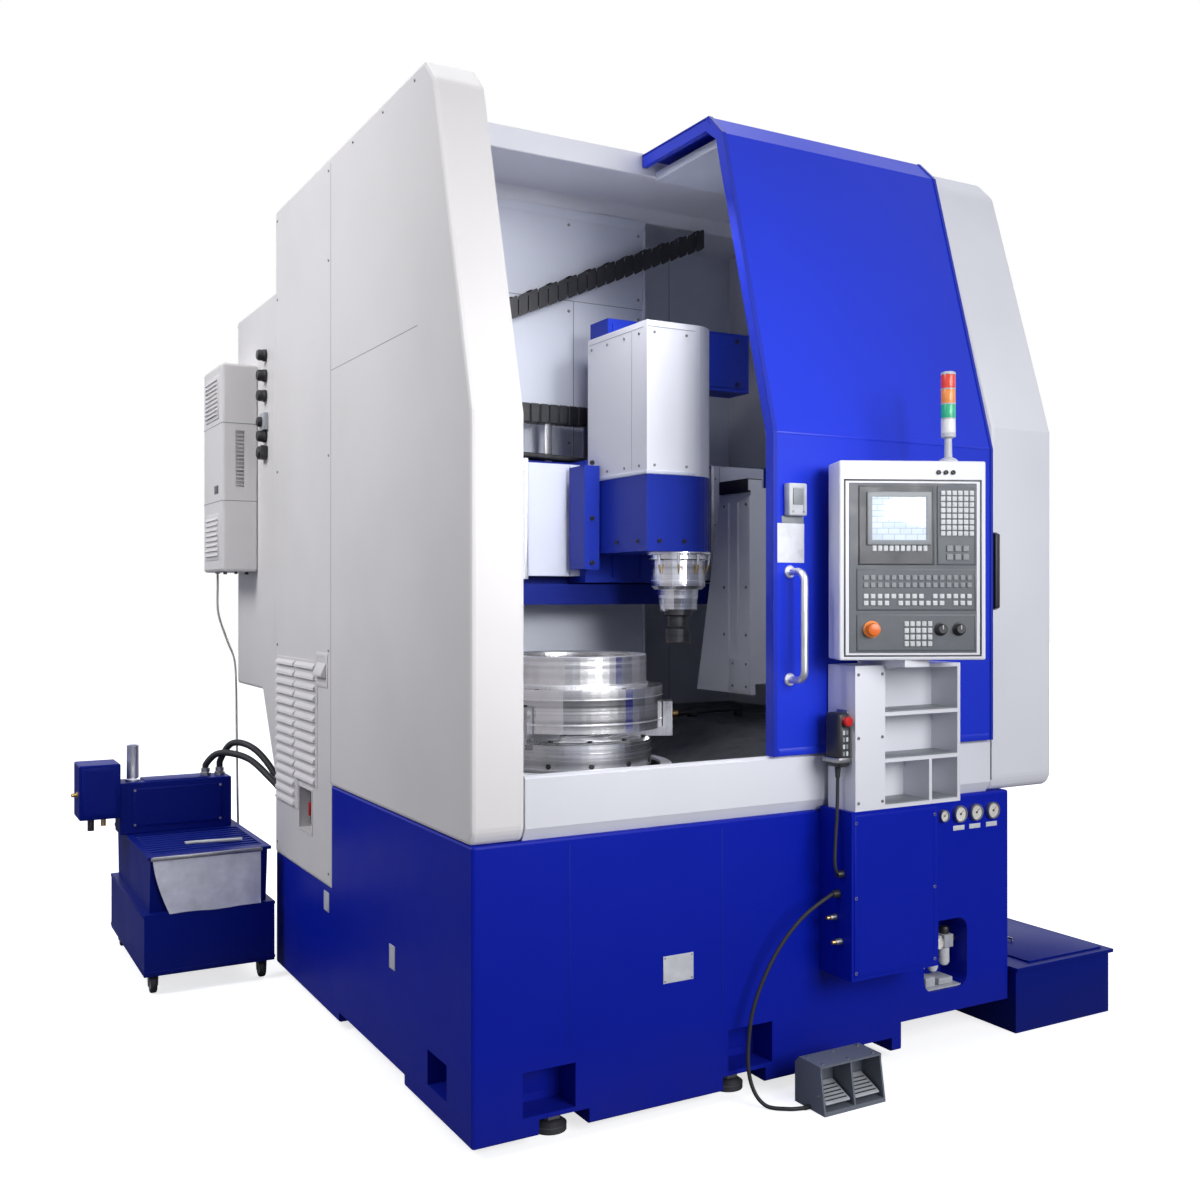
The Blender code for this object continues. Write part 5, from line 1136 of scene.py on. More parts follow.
sideValues = {"pull": [(-0.0035, 1.30, 1.20), (-0.022, 1.30, 1.205), (-0.022, 1.30, 1.215),
                       (-0.0035, 1.30, 1.255)],
              "seams": (((-0.0006, 1.2490, 0.83), (0.001, 1.2512, 3.04)),
                        ((-0.0006, 0.40, 2.2995), (0.001, 1.2475, 2.3015))),
              "plugs": ((0.45, 1.85), (1.65, 1.85))}


def makeGlands():                 # cable glands between the cabinet and the side housing
    y = glandValues["y"]
    parts = []
    for z, r in glandValues["rows"]:
        gland = [(0, 0), (r, 0), (r, 0.012), (r * 0.9, 0.014), (r * 0.9, 0.030), (r * 0.7, 0.038), (0, 0.038)]
        parts.append(addTurned(gland, (-0.0003, y, z), (-1, 0, 0), steps=12))
    parts.append(addBlock((-0.030, y - 0.035, 2.07), (-0.0003, y + 0.04, 2.125), 0.006))
    settle("cableGlands", parts, "machine", blackPlastic)
    settle("glandPlate", addBlock((-0.020, y - 0.04, 2.19), (-0.0003, y + 0.04, 2.262), 0.003), "machine",
           switchGrey)


def makeMainSwitch():             # rotary switch on a dark plate in the recess, and the recess's rim
    y, z = mainSwitchValues["y"], mainSwitchValues["z"]
    parts = [coat(addBlock((0.038, 1.482, 0.617), (0.0503, 1.633, 0.763), 0.002), darkPanel),
             coat(addTurned(mainSwitchValues["disc"], (0.0385, y, z), (-1, 0, 0), steps=32), keyGrey),
             coat(addBlock((0.010, y - 0.007, z - 0.026), (0.0285, y + 0.007, z + 0.026), 0.003), stopRed),
             coat(addBlock((0.036, 1.495, 0.626), (0.0383, 1.527, 0.646), 0.0006), platePale)]
    settle("mainSwitch", parts, "machine")
    rim = addBlock((-0.004, 1.468, 0.603), (-0.0002, 1.647, 0.777), 0.001)
    carve(rim, addBlock((-0.05, 1.476, 0.611), (0.05, 1.639, 0.769)))
    settle("switchRim", rim, "machine", shadedSideWhite)


def makeCoolerDetails():          # slats, seams, grilles and studs of the cabinet's cooler
    v = coolerValues
    low, high = corners("cabinet_cooler")
    slats = []
    for number in range(v["slats"]):          # in the opening of the front edge
        z = low.z + 0.368 + number * v["slatStep"]
        slats.append(addBlock((low.x + 0.060, low.y + 0.003, z), (low.x + 0.092, low.y + 0.017, z + 0.006),
                              0.001, 1))
    settle("coolerSlats", slats, "machine", shadedSideWhite)
    seams = []
    for z in (low.z + rise for rise in v["seams"]):
        seams.append(addBlock((low.x - 0.0008, low.y + 0.004, z),
                              (low.x + 0.002, high.y - 0.004, z + 0.003), 0.0005))
        seams.append(addBlock((low.x + 0.004, low.y - 0.0008, z),
                              (high.x - 0.004, low.y + 0.002, z + 0.003), 0.0005))
    settle("coolerSeams", seams, "machine", keyGrey)
    for name, g in v["grilles"].items():
        parts = [addBlock((low.x - g["proud"], low.y + v["inset"], low.z + g["foot"]),
                          (low.x + 0.002, high.y - v["inset"], low.z + g["head"]), 0.002)]
        near, far = (low.x - reach for reach in g["reach"])
        for number in range(g["count"]):
            y, z = low.y + v["slotInset"], low.z + g["first"] + number * g["step"]
            parts.append(addOutline([(near, y, z), (far, y, z + 0.002), (near, y, z + g["tall"])],
                                    (0, high.y - low.y - 2 * v["slotInset"], 0)))
        settle(name, parts, "machine", shadedSideWhite)
    display = addBlock((low.x - 0.002, low.y + 0.07, low.z + 0.335),
                       (low.x + 0.002, low.y + 0.14, low.z + 0.37), 0.001)
    settle("coolerDisplay", display, "machine", darkPanel)
    studs = [addBar((low.x + x, low.y + y, low.z - drop), (low.x + x, low.y + y, low.z + 0.002), radius, 12)
             for x, y, drop, radius in ((0.02, 0.03, 0.012, 0.008), (0.07, 0.05, 0.010, 0.007),
                                        (0.12, 0.07, 0.012, 0.008))]
    studs.append(addBar((-0.10, 2.60, low.z - 0.004), (-0.10, 2.60, low.z + 0.002), 0.011, 20,
                        endRadius=0.013))
    settle("coolerStuds", studs, "machine", blackPlastic)


def makeSideDetails():            # pull, seams and screws of the side sheets, cap of the column, roof plugs
    plate = insetTop(addBlock((-0.0035, 1.285, 1.165), (-0.0003, 1.42, 1.29), 0.001), (-1, 0, 0), 0.012,
                     -0.0012)
    settle("sidePull", [plate, addOutline(sideValues["pull"], (0, 0.105, 0), 0.002)], "machine", shadedSideWhite)
    settle("sideSeams", addBlocks(sideValues["seams"], 0.0003), "machine", keyGrey)
    places = grid((-0.0002,), (1.275, 1.965),
                  (0.50, 1.30, 2.0, 2.7, 3.02)) + grid((-0.0002,), (0.42, 0.70, 1.0), (3.035,))
    settle("sideScrews", addScrews(places, (-1, 0, 0), 0.005, 0.0025), "machine", screwSteel)
    settle("columnCap", addBlock((0.045, 0.375, 3.0672), (0.115, 0.455, 3.079), 0.004, 3), "machine",
           blackRubber)
    plug = [(0, 0), (0.035, 0), (0.035, 0.008), (0.018, 0.012), (0, 0.012)]
    settle("roofPlugs", [addTurned(plug, (x, y, 3.0998), steps=32) for x, y in sideValues["plugs"]],
           "machine", screwSteel)


makeGlands()
makeMainSwitch()
makeCoolerDetails()
makeSideDetails()


print("stage: filter cart")
cartValues = {"left": -0.53, "right": -0.035, "front": 1.88, "rear": 2.72, "floor": 0.045, "shoulder": 0.28,
              "grateBars": 9, "grateStep": 0.047,
              "upperTails": ((-0.18, 2.47, 0.7152), (-0.12, 2.47, 0.7152)),
              "upperTail": [(0.0143, 0), (0.022, 0), (0.022, 0.0138), (0.018, 0.0168), (0.018, 0.0328),
                            (0.0143, 0.0348)],
              "baseTails": ((0.10, 2.0003, 0.625), (0.135, 2.0003, 0.48)),
              "baseTail": [(0.0143, 0), (0.024, 0), (0.024, 0.010), (0.018, 0.013), (0.018, 0.026),
                           (0.0143, 0.028)]}
casterValues = {"count": 4, "radius": 0.037, "fork": 0.0155, "plate": 0.018}
sheetValues = {"columns": 40, "rows": 22, "torn": 0.062, "flat": (0.405, 0.222), "area": 0.084,
               "thickness": 0.0008}


def makeCasters():                # casters with forks, treads and bolts
    v = casterValues
    radius, fork, half = v["radius"], v["fork"], v["plate"]
    tread = [(0.006, -0.012), (0.028, -0.012), (radius - 0.003, -0.0115), (radius, -0.007), (radius, 0.007),
             (radius - 0.003, 0.0115), (0.028, 0.012), (0.006, 0.012)]
    hub = [(0, -0.013), (0.022, -0.013), (0.024, -0.010), (0.024, 0.010), (0.022, 0.013), (0, 0.013)]
    for number in range(1, v["count"] + 1):
        low, high = corners(f"caster_{number}")
        x, y = middleOf(f"caster_{number}")
        z, top = low.z + radius, high.z
        parts = [coat(addTurned(tread, (x, y, z), (1, 0, 0), steps=32), blackRubber),
                 coat(addTurned(hub, (x, y, z), (1, 0, 0), steps=24), switchGrey)]
        for side in (-1, 1):
            leg = [(x + side * fork, y - 0.009, z - 0.010), (x + side * fork, y + 0.009, z - 0.010),
                   (x + side * fork, y + 0.016, top - 0.006), (x + side * fork, y - 0.016, top - 0.006)]
            parts.append(coat(addOutline(leg, (side * 0.0025, 0, 0)), screwSteel))
        parts.append(coat(addBar((x - 0.0188, y, z), (x + 0.0188, y, z), 0.005, 12), screwSteel))
        plate = addBlock((x - 0.0188, y - half, top - 0.0065), (x + 0.0188, y + half, top - 0.0002), 0.001)
        parts.append(coat(plate, screwSteel))
        piece = settle(f"caster{number}", parts, "machine")
        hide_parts(f"caster_{number}")


def makeFilterSheet():            # non-woven filter sheet that hangs over the front rim, rippled and torn off
    v = sheetValues
    low, high = corners("filter_paper")
    deselectAll()
    bpy.ops.mesh.primitive_grid_add(x_subdivisions=v["columns"], y_subdivisions=v["rows"], size=1,
                                    location=(0, 0, 0))
    obj = bpy.context.object
    for vertex in obj.data.vertices:
        across, up = vertex.co.x + 0.5, vertex.co.y + 0.5
        left = low.x + v["torn"] * (1 - up) ** 1.6
        bottom = low.z + 0.004 + 0.002 * math.sin(9 * across)
        ripple = 0.0016 * math.sin(16 * across + 2 * up) * (1 - up) + 0.0008 * math.sin(31 * across)
        vertex.co = at(left + (high.x - left) * across, high.y - 0.0028 - ripple,
                       bottom + (high.z - bottom) * up)
    useModifier(obj, "SOLIDIFY", thickness=v["thickness"], offset=0.0)
    pick(obj)
    bpy.ops.object.mode_set(mode="EDIT")
    bpy.ops.mesh.select_all(action="SELECT")
    bpy.ops.mesh.normals_make_consistent(inside=False)
    bpy.ops.object.mode_set(mode="OBJECT")
    piece = settle("filterSheet", obj, "machine", filterCloth, smooth=60)
    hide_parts("filter_paper")
    clamp = addBlock((low.x - 0.006, high.y - 0.0065, high.z - 0.016),
                     (high.x + 0.006, high.y - 0.0048, high.z - 0.002), 0.0006)
    settle("sheetClamp", clamp, "machine", screwSteel)


def makeCartTank():               # rims, grate over the trough and the scraper that lies on it
    v = cartValues
    left, right, front, rear, floor = v["left"], v["right"], v["front"], v["rear"], v["floor"]
    rim = []
    for z in (floor + 0.01, v["shoulder"] - 0.012):
        rim.append(addBlock((left - 0.0025, front - 0.0025, z), (left + 0.004, rear + 0.0025, z + 0.010),
                            0.001))
        rim.append(addBlock((right - 0.004, front - 0.0025, z), (right + 0.0025, rear + 0.0025, z + 0.010),
                            0.001))
    rim.append(addBlock((left + 0.002, front - 0.0025, floor + 0.010),
                        (right - 0.002, front + 0.003, floor + 0.02), 0.001))
    rim.append(addBlock((left + 0.002, rear - 0.003, floor + 0.010),
                        (right - 0.002, rear + 0.0025, floor + 0.02), 0.001))
    settle("cartRims", rim, "machine", shadedCartBlue)
    scraper = [addBar((-0.30, 2.10, 0.501), (-0.13, 2.02, 0.511), 0.007, 16, 0.001),
               addBlock((-0.335, 2.095, 0.4955), (-0.285, 2.125, 0.5035), 0.002)]
    tray = insetTop(addBlock((-0.485, 1.945, 0.386), (-0.080, 2.36, 0.392), 0.002), (0, 0, 1), 0.012, -0.003)
    bars = [coat(tray, shadedCartBlue)]
    for y in (1.955 + number * v["grateStep"] for number in range(v["grateBars"])):
        bars.append(coat(addBlock((-0.4925, y, 0.4905), (-0.0725, y + 0.008, 0.4985), 0.001, 1), railBlue))
    settle("troughGrate", bars, "machine")
    settle("cartScraper", scraper, "machine", keyWhite)


def makeCartBoxes():              # fittings of the filter box and the pump box, and the hose tails
    v = cartValues
    low, high = corners("cart_filter_box")
    y = middleOf("cart_filter_box")[1]
    lid = addBlock((low.x + 0.10, low.y + 0.008, 0.7151), (high.x - 0.10, high.y - 0.008, 0.719), 0.001)
    settle("filterBoxLid", lid, "machine", shadedCartBlue)
    plate = addBlock((low.x + 0.05, low.y - 0.003, 0.53), (high.x - 0.04, low.y + 0.001, 0.69), 0.001)
    insetTop(plate, (0, -1, 0), 0.010, -0.001)
    places = grid((low.x + 0.058, high.x - 0.048), (low.y - 0.0028,), (0.538, 0.682))
    heads = addScrews(places, (0, -1, 0), 0.005, 0.003)
    settle("filterBoxPlate", [coat(plate, shadedCartBlue)] + coated(screwSteel, heads), "machine")
    sleeve = [(0.0222, 0.716), (0.030, 0.716), (0.030, 0.722), (0.0245, 0.726), (0.0235, 0.862),
              (0.0245, 0.8655), (0.018, 0.8655), (0.018, 0.85), (0.0222, 0.85)]
    settle("cartPipeSleeve", addTurned(sleeve, (low.x + 0.06, y, 0), steps=36), "machine", brightSteel)
    low, high = corners("cart_pump_box")
    y = middleOf("cart_pump_box")[1]
    door = addBlock((low.x + 0.008, low.y - 0.004, low.z + 0.010),
                    (high.x - 0.008, low.y + 0.001, high.z - 0.010), 0.002)
    insetTop(door, (0, -1, 0), 0.012, 0.0015)
    valve = [(0, 0), (0.014, 0), (0.014, 0.004), (0.008, 0.006), (0.008, 0.024), (0, 0.026)]
    parts = [coat(door, shadedCartBlue),
             coat(addTurned(valve, (low.x + 0.0005, y - 0.03, low.z + 0.10), (-1, 0, 0), steps=20), brass)]
    for x, depth, drop, radius, material in ((0.05, 0.05, 0.05, 0.013, blackPlastic),
                                             (0.10, 0.06, 0.035, 0.010, brass)):
        spot = (low.x + x, low.y + depth)
        parts.append(coat(addBar((*spot, low.z - drop), (*spot, low.z + 0.001), radius, 16), material))
    settle("pumpBoxDoor", parts, "machine")
    tails = [addTurned(v["upperTail"], place, steps=24) for place in v["upperTails"]]
    tails += [addTurned(v["baseTail"], place, (0, 1, 0), steps=24) for place in v["baseTails"]]
    settle("hoseTails", tails, "machine", screwSteel)


makeCasters()
makeFilterSheet()
makeCartTank()
makeCartBoxes()


print("stage: work chamber")
chainValues = {"links": 33, "gap": 0.003, "plate": 0.003, "rise": 0.438, "depth": 0.044}
carrierValues = {"left": 0.17, "right": 1.02, "links": 21, "gap": 0.003, "low": (1.130, 2.152),
                 "high": (1.185, 2.226),
                 "posts": (0.22, 0.52, 0.80, 0.965), "floor": 2.0003,
                 "hoses": ((1.115, 0.012), (1.088, 0.009), (1.160, 0.013))}       # y and radius
wallValues = {"seams": (((0.1625, 1.2490, 2.66), (1.3085, 1.2502, 2.663)),
                        ((0.30, 1.2490, 1.0), (0.303, 1.2502, 2.659)),
                        ((0.98, 1.2490, 2.01), (0.983, 1.2502, 2.659)),
                        ((1.3095, 1.252, 1.03), (1.3115, 1.548, 3.0)),
                        ((1.62, 1.5490, 1.03), (1.623, 1.5502, 2.99))),
              "hem": [(0.1615, 1.2490, 2.985), (0.1615, 1.2350, 3.015), (0.1615, 1.2490, 3.015)]}
panValues = {"collar": [(0.297, 0.930), (0.335, 0.930), (0.335, 0.934), (0.330, 0.938), (0.300, 0.938),
                        (0.297, 0.935)],
             "pipe": (1.335, 1.040, 1.034), "pipeEnd": (1.585, 0.950, 1.052), "pipeRadius": 0.010,
             "nozzle": [(0, 0), (0.014, 0), (0.014, 0.02), (0.008, 0.034), (0, 0.034)]}
gripValues = {"x": 1.9545, "width": 0.022, "outline": ((-0.0003, 1.448), (-0.018, 1.456), (-0.018, 1.710),
                                                       (-0.0003, 1.718))}


def makeEnergyChain():            # chain of plastic links that climbs across the rear wall
    v = chainValues
    low, high = corners("cable_duct")
    run, face, back = high.x - low.x, high.y - v["depth"], high.y - 0.002
    height = high.z - low.z - v["rise"] * run
    step = run / v["links"]
    core = addOutline([(low.x + 0.004, back, low.z + 0.012), (low.x + 0.004, back, low.z + height - 0.014),
                       (high.x - 0.004, back, high.z - 0.014),
                       (high.x - 0.004, back, high.z - height + 0.012)],
                      (0, -v["depth"] + 0.008, 0), 0.001)
    parts = [coat(core, darkPanel)]
    for number in range(v["links"]):
        x0 = low.x + number * step + v["gap"] / 2
        x1 = x0 + step - v["gap"]
        z0, z1 = (low.z + v["rise"] * (x - low.x) for x in (x0, x1))
        edge = [(x0, z0 + 0.006), (x0 + 0.006, z0), (x1 - 0.004, z1), (x1, z1 + 0.006),
                (x1, z1 + height - 0.006),
                (x1 - 0.006, z1 + height), (x0 + 0.004, z0 + height), (x0, z0 + height - 0.006)]
        link = addOutline([(x, face, z) for x, z in edge], (0, -v["plate"], 0), 0.0008, 1)
        parts.append(coat(link, blackPlastic))
        if number % 2 == 0:
            crown = z0 + height
            lug = addBlock((x0 + 0.008, face - 0.001, crown + 0.0065),
                           (x0 + 0.020, high.y - 0.004, crown + 0.010), 0.001, 1)
            parts.append(coat(lug, blackPlastic))
    piece = settle("energyChain", parts, "machine")
    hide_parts("cable_duct")


def makeRailCables():             # upper cable carrier on its posts, and the hoses along the cross rail
    v = carrierValues
    x0, x1, floor = v["left"], v["right"], v["floor"]
    step = (x1 - x0) / v["links"]
    carrier = []
    for number in range(v["links"]):
        x = x0 + number * step
        carrier.append(coat(addBlock((x, *v["low"]), (x + step - v["gap"], *v["high"]), 0.004, 1),
                            blackPlastic))
    carrier.append(coat(addBlock((x0, 1.138, 2.160), (x1, 1.178, 2.218)), darkPanel))
    for x in v["posts"]:
        post = [((x, 1.140, floor), (x + 0.03, 1.1435, 2.156)),
                ((x - 0.01, 1.120, floor), (x + 0.04, 1.18, 2.004))]
        carrier += coated(screwSteel, addBlocks(post, 0.001))
    settle("railCarrier", carrier, "machine")
    hoses = []
    for number, (y, radius) in enumerate(v["hoses"]):
        z = 2.004 + radius
        stops = [(x0, y, z + 0.018 + 0.012 * number), (x0 + 0.20, y + 0.004, z + 0.034),
                 (x0 + 0.40, y, z + 0.014),
                 (x1 - 0.06, y, z)]
        hoses += [addBar(a, b, radius, 16) for a, b in zip(stops, stops[1:])]
        belly = [(radius * math.cos(t), radius * math.sin(t)) for t in (-1.0, -0.5, 0.0, 0.5, 1.0)]
        hoses += [addTurned([(0, -radius), *belly, (0, radius)], stop, steps=16) for stop in stops[1:-1]]
    settle("railHoses", hoses, "machine", blackRubber)


def makeWallSeams():              # folded joints of the chamber's sheets, their hems and screws
    settle("chamberSeams", addBlocks(wallValues["seams"], 0.0003), "machine", keyGrey)
    hems = [addOutline(wallValues["hem"], (1.146, 0, 0)),
            addBlock((1.2985, 1.240, 1.03), (1.3095, 1.2495, 2.99), 0.002)]
    settle("chamberHems", hems, "machine", chamberGrey)
    rear = grid((0.32, 0.65, 0.96, 1.28), (1.2497,), (2.10, 2.62, 2.70, 2.96))
    left = grid((0.1605,), (0.45, 0.80, 1.15), (1.30, 1.85, 2.45, 2.85))
    heads = addScrews(rear, (0, -1, 0), 0.006, 0.003) + addScrews(left, (1, 0, 0), 0.006, 0.003)
    settle("chamberScrews", heads, "machine", screwSteel)


def makePanDetails():             # collar round the chuck on the chip pan, and the coolant pipe with its feet
    v = panValues
    collar = addTurned(v["collar"], (*middleOf("chuck_body"), 0), steps=64)
    settle("panCollar", collar, "machine", guardGrey)
    pipe = [addBar(v["pipe"], v["pipeEnd"], v["pipeRadius"], 16),
            addBlock((1.375, 1.005, 1.0203), (1.405, 1.035, 1.040), 0.003),
            addBlock((1.555, 0.945, 1.0203), (1.580, 0.970, 1.050), 0.003)]
    nozzle = addTurned(v["nozzle"], v["pipe"], (-0.94, 0.34, -0.05), steps=20)
    settle("coolantPipe", coated(blackPlastic, pipe) + [coat(nozzle, brass)], "machine")


def makeGuardDetails():           # hems, folds and bolts of the tool magazine's guard
    low, high = corners("magazine_guard")
    side = low.x + 0.010
    x, y, z = side - 0.0005, low.y, low.z
    folds = [addOutline([(x, y + 0.012, z + 0.012), (x, y + 0.14, z + 0.012), (x, y + 0.13, z + 0.13),
                         (x, y + 0.012, z + 0.13)],
                        (-0.0035, 0, 0), 0.001),
             addBlock((side - 0.004, y + 0.0008, z + 0.006), (side + 0.001, y + 0.012, high.z - 0.06),
                      0.0015)]
    foot = z + 0.15
    for edge in (y + 0.075, y + 0.135):
        folds.append(addOutline([(side, edge, foot), (side - 0.0045, edge + 0.006, foot),
                                 (side, edge + 0.012, foot)],
                                (0, 0, high.z - z - 0.23)))
    settle("guardFolds", folds, "machine", guardGrey)
    places = grid((side - 0.0002,), (y + 0.03, y + 0.17), (z + 0.22, (z + high.z) / 2, high.z - 0.09))
    heads = addScrews(places, (-1, 0, 0), 0.006, 0.003)
    places = grid((side - 0.0036,), (y + 0.025, y + 0.11), (z + 0.028, z + 0.112))
    heads += addScrews(places, (-1, 0, 0), 0.005, 0.003)
    settle("guardScrews", heads, "machine", screwSteel)
    runner = addBlock((low.x - 0.004, y + 0.004, high.z - 0.046),
                      (low.x + 0.066, high.y - 0.170, high.z + 0.004), 0.003)
    settle("guardRunner", runner, "machine", blackPlastic)


def makeRightGrip():              # black grip on the right column, and the seal beside it
    v = gripValues
    grip = addOutline([(v["x"], y, z) for y, z in v["outline"]], (v["width"], 0, 0), 0.004, 3)
    settle("columnGrip", grip, "machine", blackPlastic)
    settle("columnSeal", addBlock((1.9475, -0.0025, 0.86), (1.9505, 0.0005, 1.995), 0.0008), "machine",
           blackRubber)


makeEnergyChain()
makeRailCables()
makeWallSeams()
makePanDetails()
makeGuardDetails()
makeRightGrip()


print("stage: way covers, saddle and head")
coverValues = {"lip": 0.012, "screws": 0.022,
               "fold": (0.04, 0.0425)}      # inwards from the section's inner end
nozzleValues = {"count": 4, "first": 200, "step": 38, "ring": 0.1125,
                "tray": [(0.106, 0), (0.119, 0), (0.119, -0.006), (0.116, -0.009), (0.106, -0.009)]}
spindleValues = {"bolts": 8, "firstBolt": 22.5, "boltRing": 0.098, "keyRing": 0.058, "inserts": 6}


def around(centre, radius, count, first=0.0,
           step=None):  # places on a circle, each with its direction outwards
    turn = 360 / count if step is None else step
    sides = [(math.cos(math.radians(first + turn * n)), math.sin(math.radians(first + turn * n)))
             for n in range(count)]
    return [(centre[0] + radius * ux, centre[1] + radius * uy, ux, uy) for ux, uy in sides]


def makeCoverDetails():           # wiper lips, screws and a fold on each section of the way covers
    v = coverValues
    for side, sign in (("left", 1), ("right", -1)):
        for section, body in ((1, "machine"), (2, f"{side}_cover"), (3, "saddle")):
            low, high = corners(f"{side}_way_cover_{section}")
            inner = high.x if side == "left" else low.x
            parts = []
            if section < 3:           # lips reach in over the next section
                x0, x1 = sorted((inner, inner - sign * v["lip"]))
                lips = [((x0, low.y - 0.0022, low.z + 0.003), (x1, low.y + 0.0006, high.z - 0.003)),
                        ((x0, low.y + 0.003, high.z - 0.0006), (x1, high.y - 0.003, high.z + 0.0022))]
                parts += coated(brightSteel, addBlocks(lips, 0.0006))
            heights = (low.z + 0.05, (low.z + high.z) / 2, high.z - 0.05)
            places = grid((inner - sign * v["screws"],), (low.y + 0.0002,), heights)
            parts += coated(screwSteel, addScrews(places, (0, -1, 0), 0.004, 0.002))
            x0, x1 = sorted(inner - sign * reach for reach in v["fold"])
            fold = addBlock((x0, low.y - 0.0006, low.z + 0.004), (x1, low.y + 0.0004, high.z - 0.004), 0.0003)
            parts.append(coat(fold, keyGrey))
            settle(f"{side}CoverLip{section}", parts, body)


def makeSaddleDetails():          # screws and the cover plate of the saddle
    low, high = corners("saddle")
    places = grid((low.x + 0.030,), (low.y - 0.0002,), (low.z + 0.07, low.z + 0.23, low.z + 0.43))
    heads = addScrews(places, (0, -1, 0), 0.009, 0.006)
    places = grid((high.x - 0.20, high.x - 0.06), (low.y + 0.1028,), (high.z - 0.20, high.z - 0.03))
    heads += addScrews(places, (0, -1, 0), 0.010, 0.007)
    settle("saddleScrews", heads, "saddle", blackScrew)
    plate = addBlock((high.x - 0.225, low.y + 0.099, high.z - 0.215),
                     (high.x - 0.02, low.y + 0.104, high.z - 0.015), 0.0015)
    settle("saddlePlate", plate, "saddle", railBlue)


def makeHeadDetails():            # joints, rim and screws of the head's covers
    low, high = corners("head_cover")
    right, lower, upper = high.x - 0.112, high.z - 0.022, high.z - 0.020
    seams = [((low.x - 0.0006, low.y + 0.10, low.z + 0.02), (low.x + 0.001, low.y + 0.102, upper)),
             ((low.x - 0.0006, low.y + 0.02, lower), (low.x + 0.001, high.y - 0.01, upper)),
             ((low.x + 0.004, low.y - 0.0006, lower), (right, low.y + 0.001, upper))]
    settle("headSeams", addBlocks(seams, 0.0003), "head", keyGrey)
    rim = [((low.x - 0.0035, low.y + 0.004, low.z + 0.0005), (low.x + 0.001, high.y - 0.004, low.z + 0.012)),
           ((low.x - 0.0035, low.y - 0.0035, low.z + 0.0005), (right, low.y + 0.001, low.z + 0.012))]
    settle("headRim", addBlocks(rim, 0.0015), "head", coverWhite)
    heights = (low.z + 0.03, high.z - 0.04)
    places = grid((low.x - 0.0002,), (low.y + 0.05, low.y + 0.15, low.y + 0.27, high.y - 0.03), heights)
    heads = addScrews(places, (-1, 0, 0), 0.005, 0.0028)
    heads += addScrews(grid((low.x + 0.03, low.x + 0.16), (low.y - 0.0002,), heights), (0, -1, 0), 0.005,
                       0.0028)
    settle("headScrews", heads, "head", screwSteel)
    low = corners("head_housing")[0]
    heights = (low.z + 0.035,)
    places = grid((low.x - 0.0002,), (low.y + 0.06, low.y + 0.20, low.y + 0.34), heights)
    heads = addScrews(places, (-1, 0, 0), 0.008, 0.005)
    heads += addScrews(grid((low.x + 0.05, low.x + 0.15), (low.y - 0.0002,), heights), (0, -1, 0), 0.008,
                       0.005)
    settle("housingScrews", heads, "head", blackScrew)


def makeNozzles():                # drip tray and coolant nozzles round the nose
    v = nozzleValues
    x, y, _ = spindleCentre
    z = corners("head_housing")[0].z
    parts = [coat(addTurned(v["tray"], (x, y, z - 0.0002), steps=64), spindleSteel)]
    for x, y, ux, uy in around(spindleCentre, v["ring"], v["count"], v["first"], v["step"]):
        neck = (x - 0.003 * ux, y - 0.003 * uy)
        stem = addBar((x, y, z - 0.008), (*neck, z - 0.045), 0.0055, 16, 0, 0.004)
        tip = addBar((*neck, z - 0.044), (x - 0.012 * ux, y - 0.012 * uy, z - 0.075), 0.0045, 16, 0, 0.0025)
        parts += [coat(stem, brightSteel), coat(tip, brass)]
    settle("coolantNozzles", parts, "head")


def makeSpindle():                # bolts and drive keys of the nose, and the inserts of the tool
    v = spindleValues
    low, high = corners("spindle_nose")
    centre = middleOf("spindle_nose")
    ring = around(centre, v["boltRing"], v["bolts"], v["firstBolt"])
    bolts = addScrews([(x, y, high.z - 0.0243) for x, y, _, _ in ring], (0, 0, -1), 0.0045, 0.004)
    settle("noseBolts", bolts, "tool_spindle", blackScrew)
    keys = []
    for x in (centre[0] - v["keyRing"], centre[0] + v["keyRing"]):
        keys.append(addBlock((x - 0.010, centre[1] - 0.012, low.z - 0.008),
                             (x + 0.010, centre[1] + 0.012, low.z + 0.001), 0.002))
    settle("driveKeys", keys, "tool_spindle", screwSteel)
    low, high = corners("tool_holder")
    inserts = []
    for x, y, ux, uy in around(centre, (high.x - low.x) / 2 - 0.013, v["inserts"]):
        corner = (x + 0.007 * ux + 0.004, y + 0.007 * uy + 0.004, low.z + 0.014)
        inserts.append(addBlock((x - 0.005, y - 0.005, low.z - 0.003), corner, 0.001, 1))
    settle("toolInserts", inserts, "tool_spindle", brass)


makeCoverDetails()
makeSaddleDetails()
makeHeadDetails()
makeNozzles()
makeSpindle()


print("stage: chuck and ring")
chuckValues = {"radius": 0.265, "top": 1.030, "bolts": 12, "firstBolt": 15, "topRing": 0.245,
               "rings": (0.09, 0.125, 0.16, 0.195, 0.23)}
jawValues = {"topScrew": 0.318, "sideScrews": 0.3348, "heights": (1.060, 1.115)}
ringValues = {"holes": 12, "firstHole": 8, "holeRing": 0.278,
              "shoulder": [(0.249, 1.2005), (0.2545, 1.2005), (0.2545, 1.208), (0.249, 1.212)],
              "grooves": ((1.088, 1.093), (1.168, 1.171))}


def addHoop(inner, outer, foot, top, steps=96):   # square ring about the chuck's axis
    return addTurned([(inner, foot), (outer, foot), (outer, top), (inner, top)], chuckCentre, steps=steps)


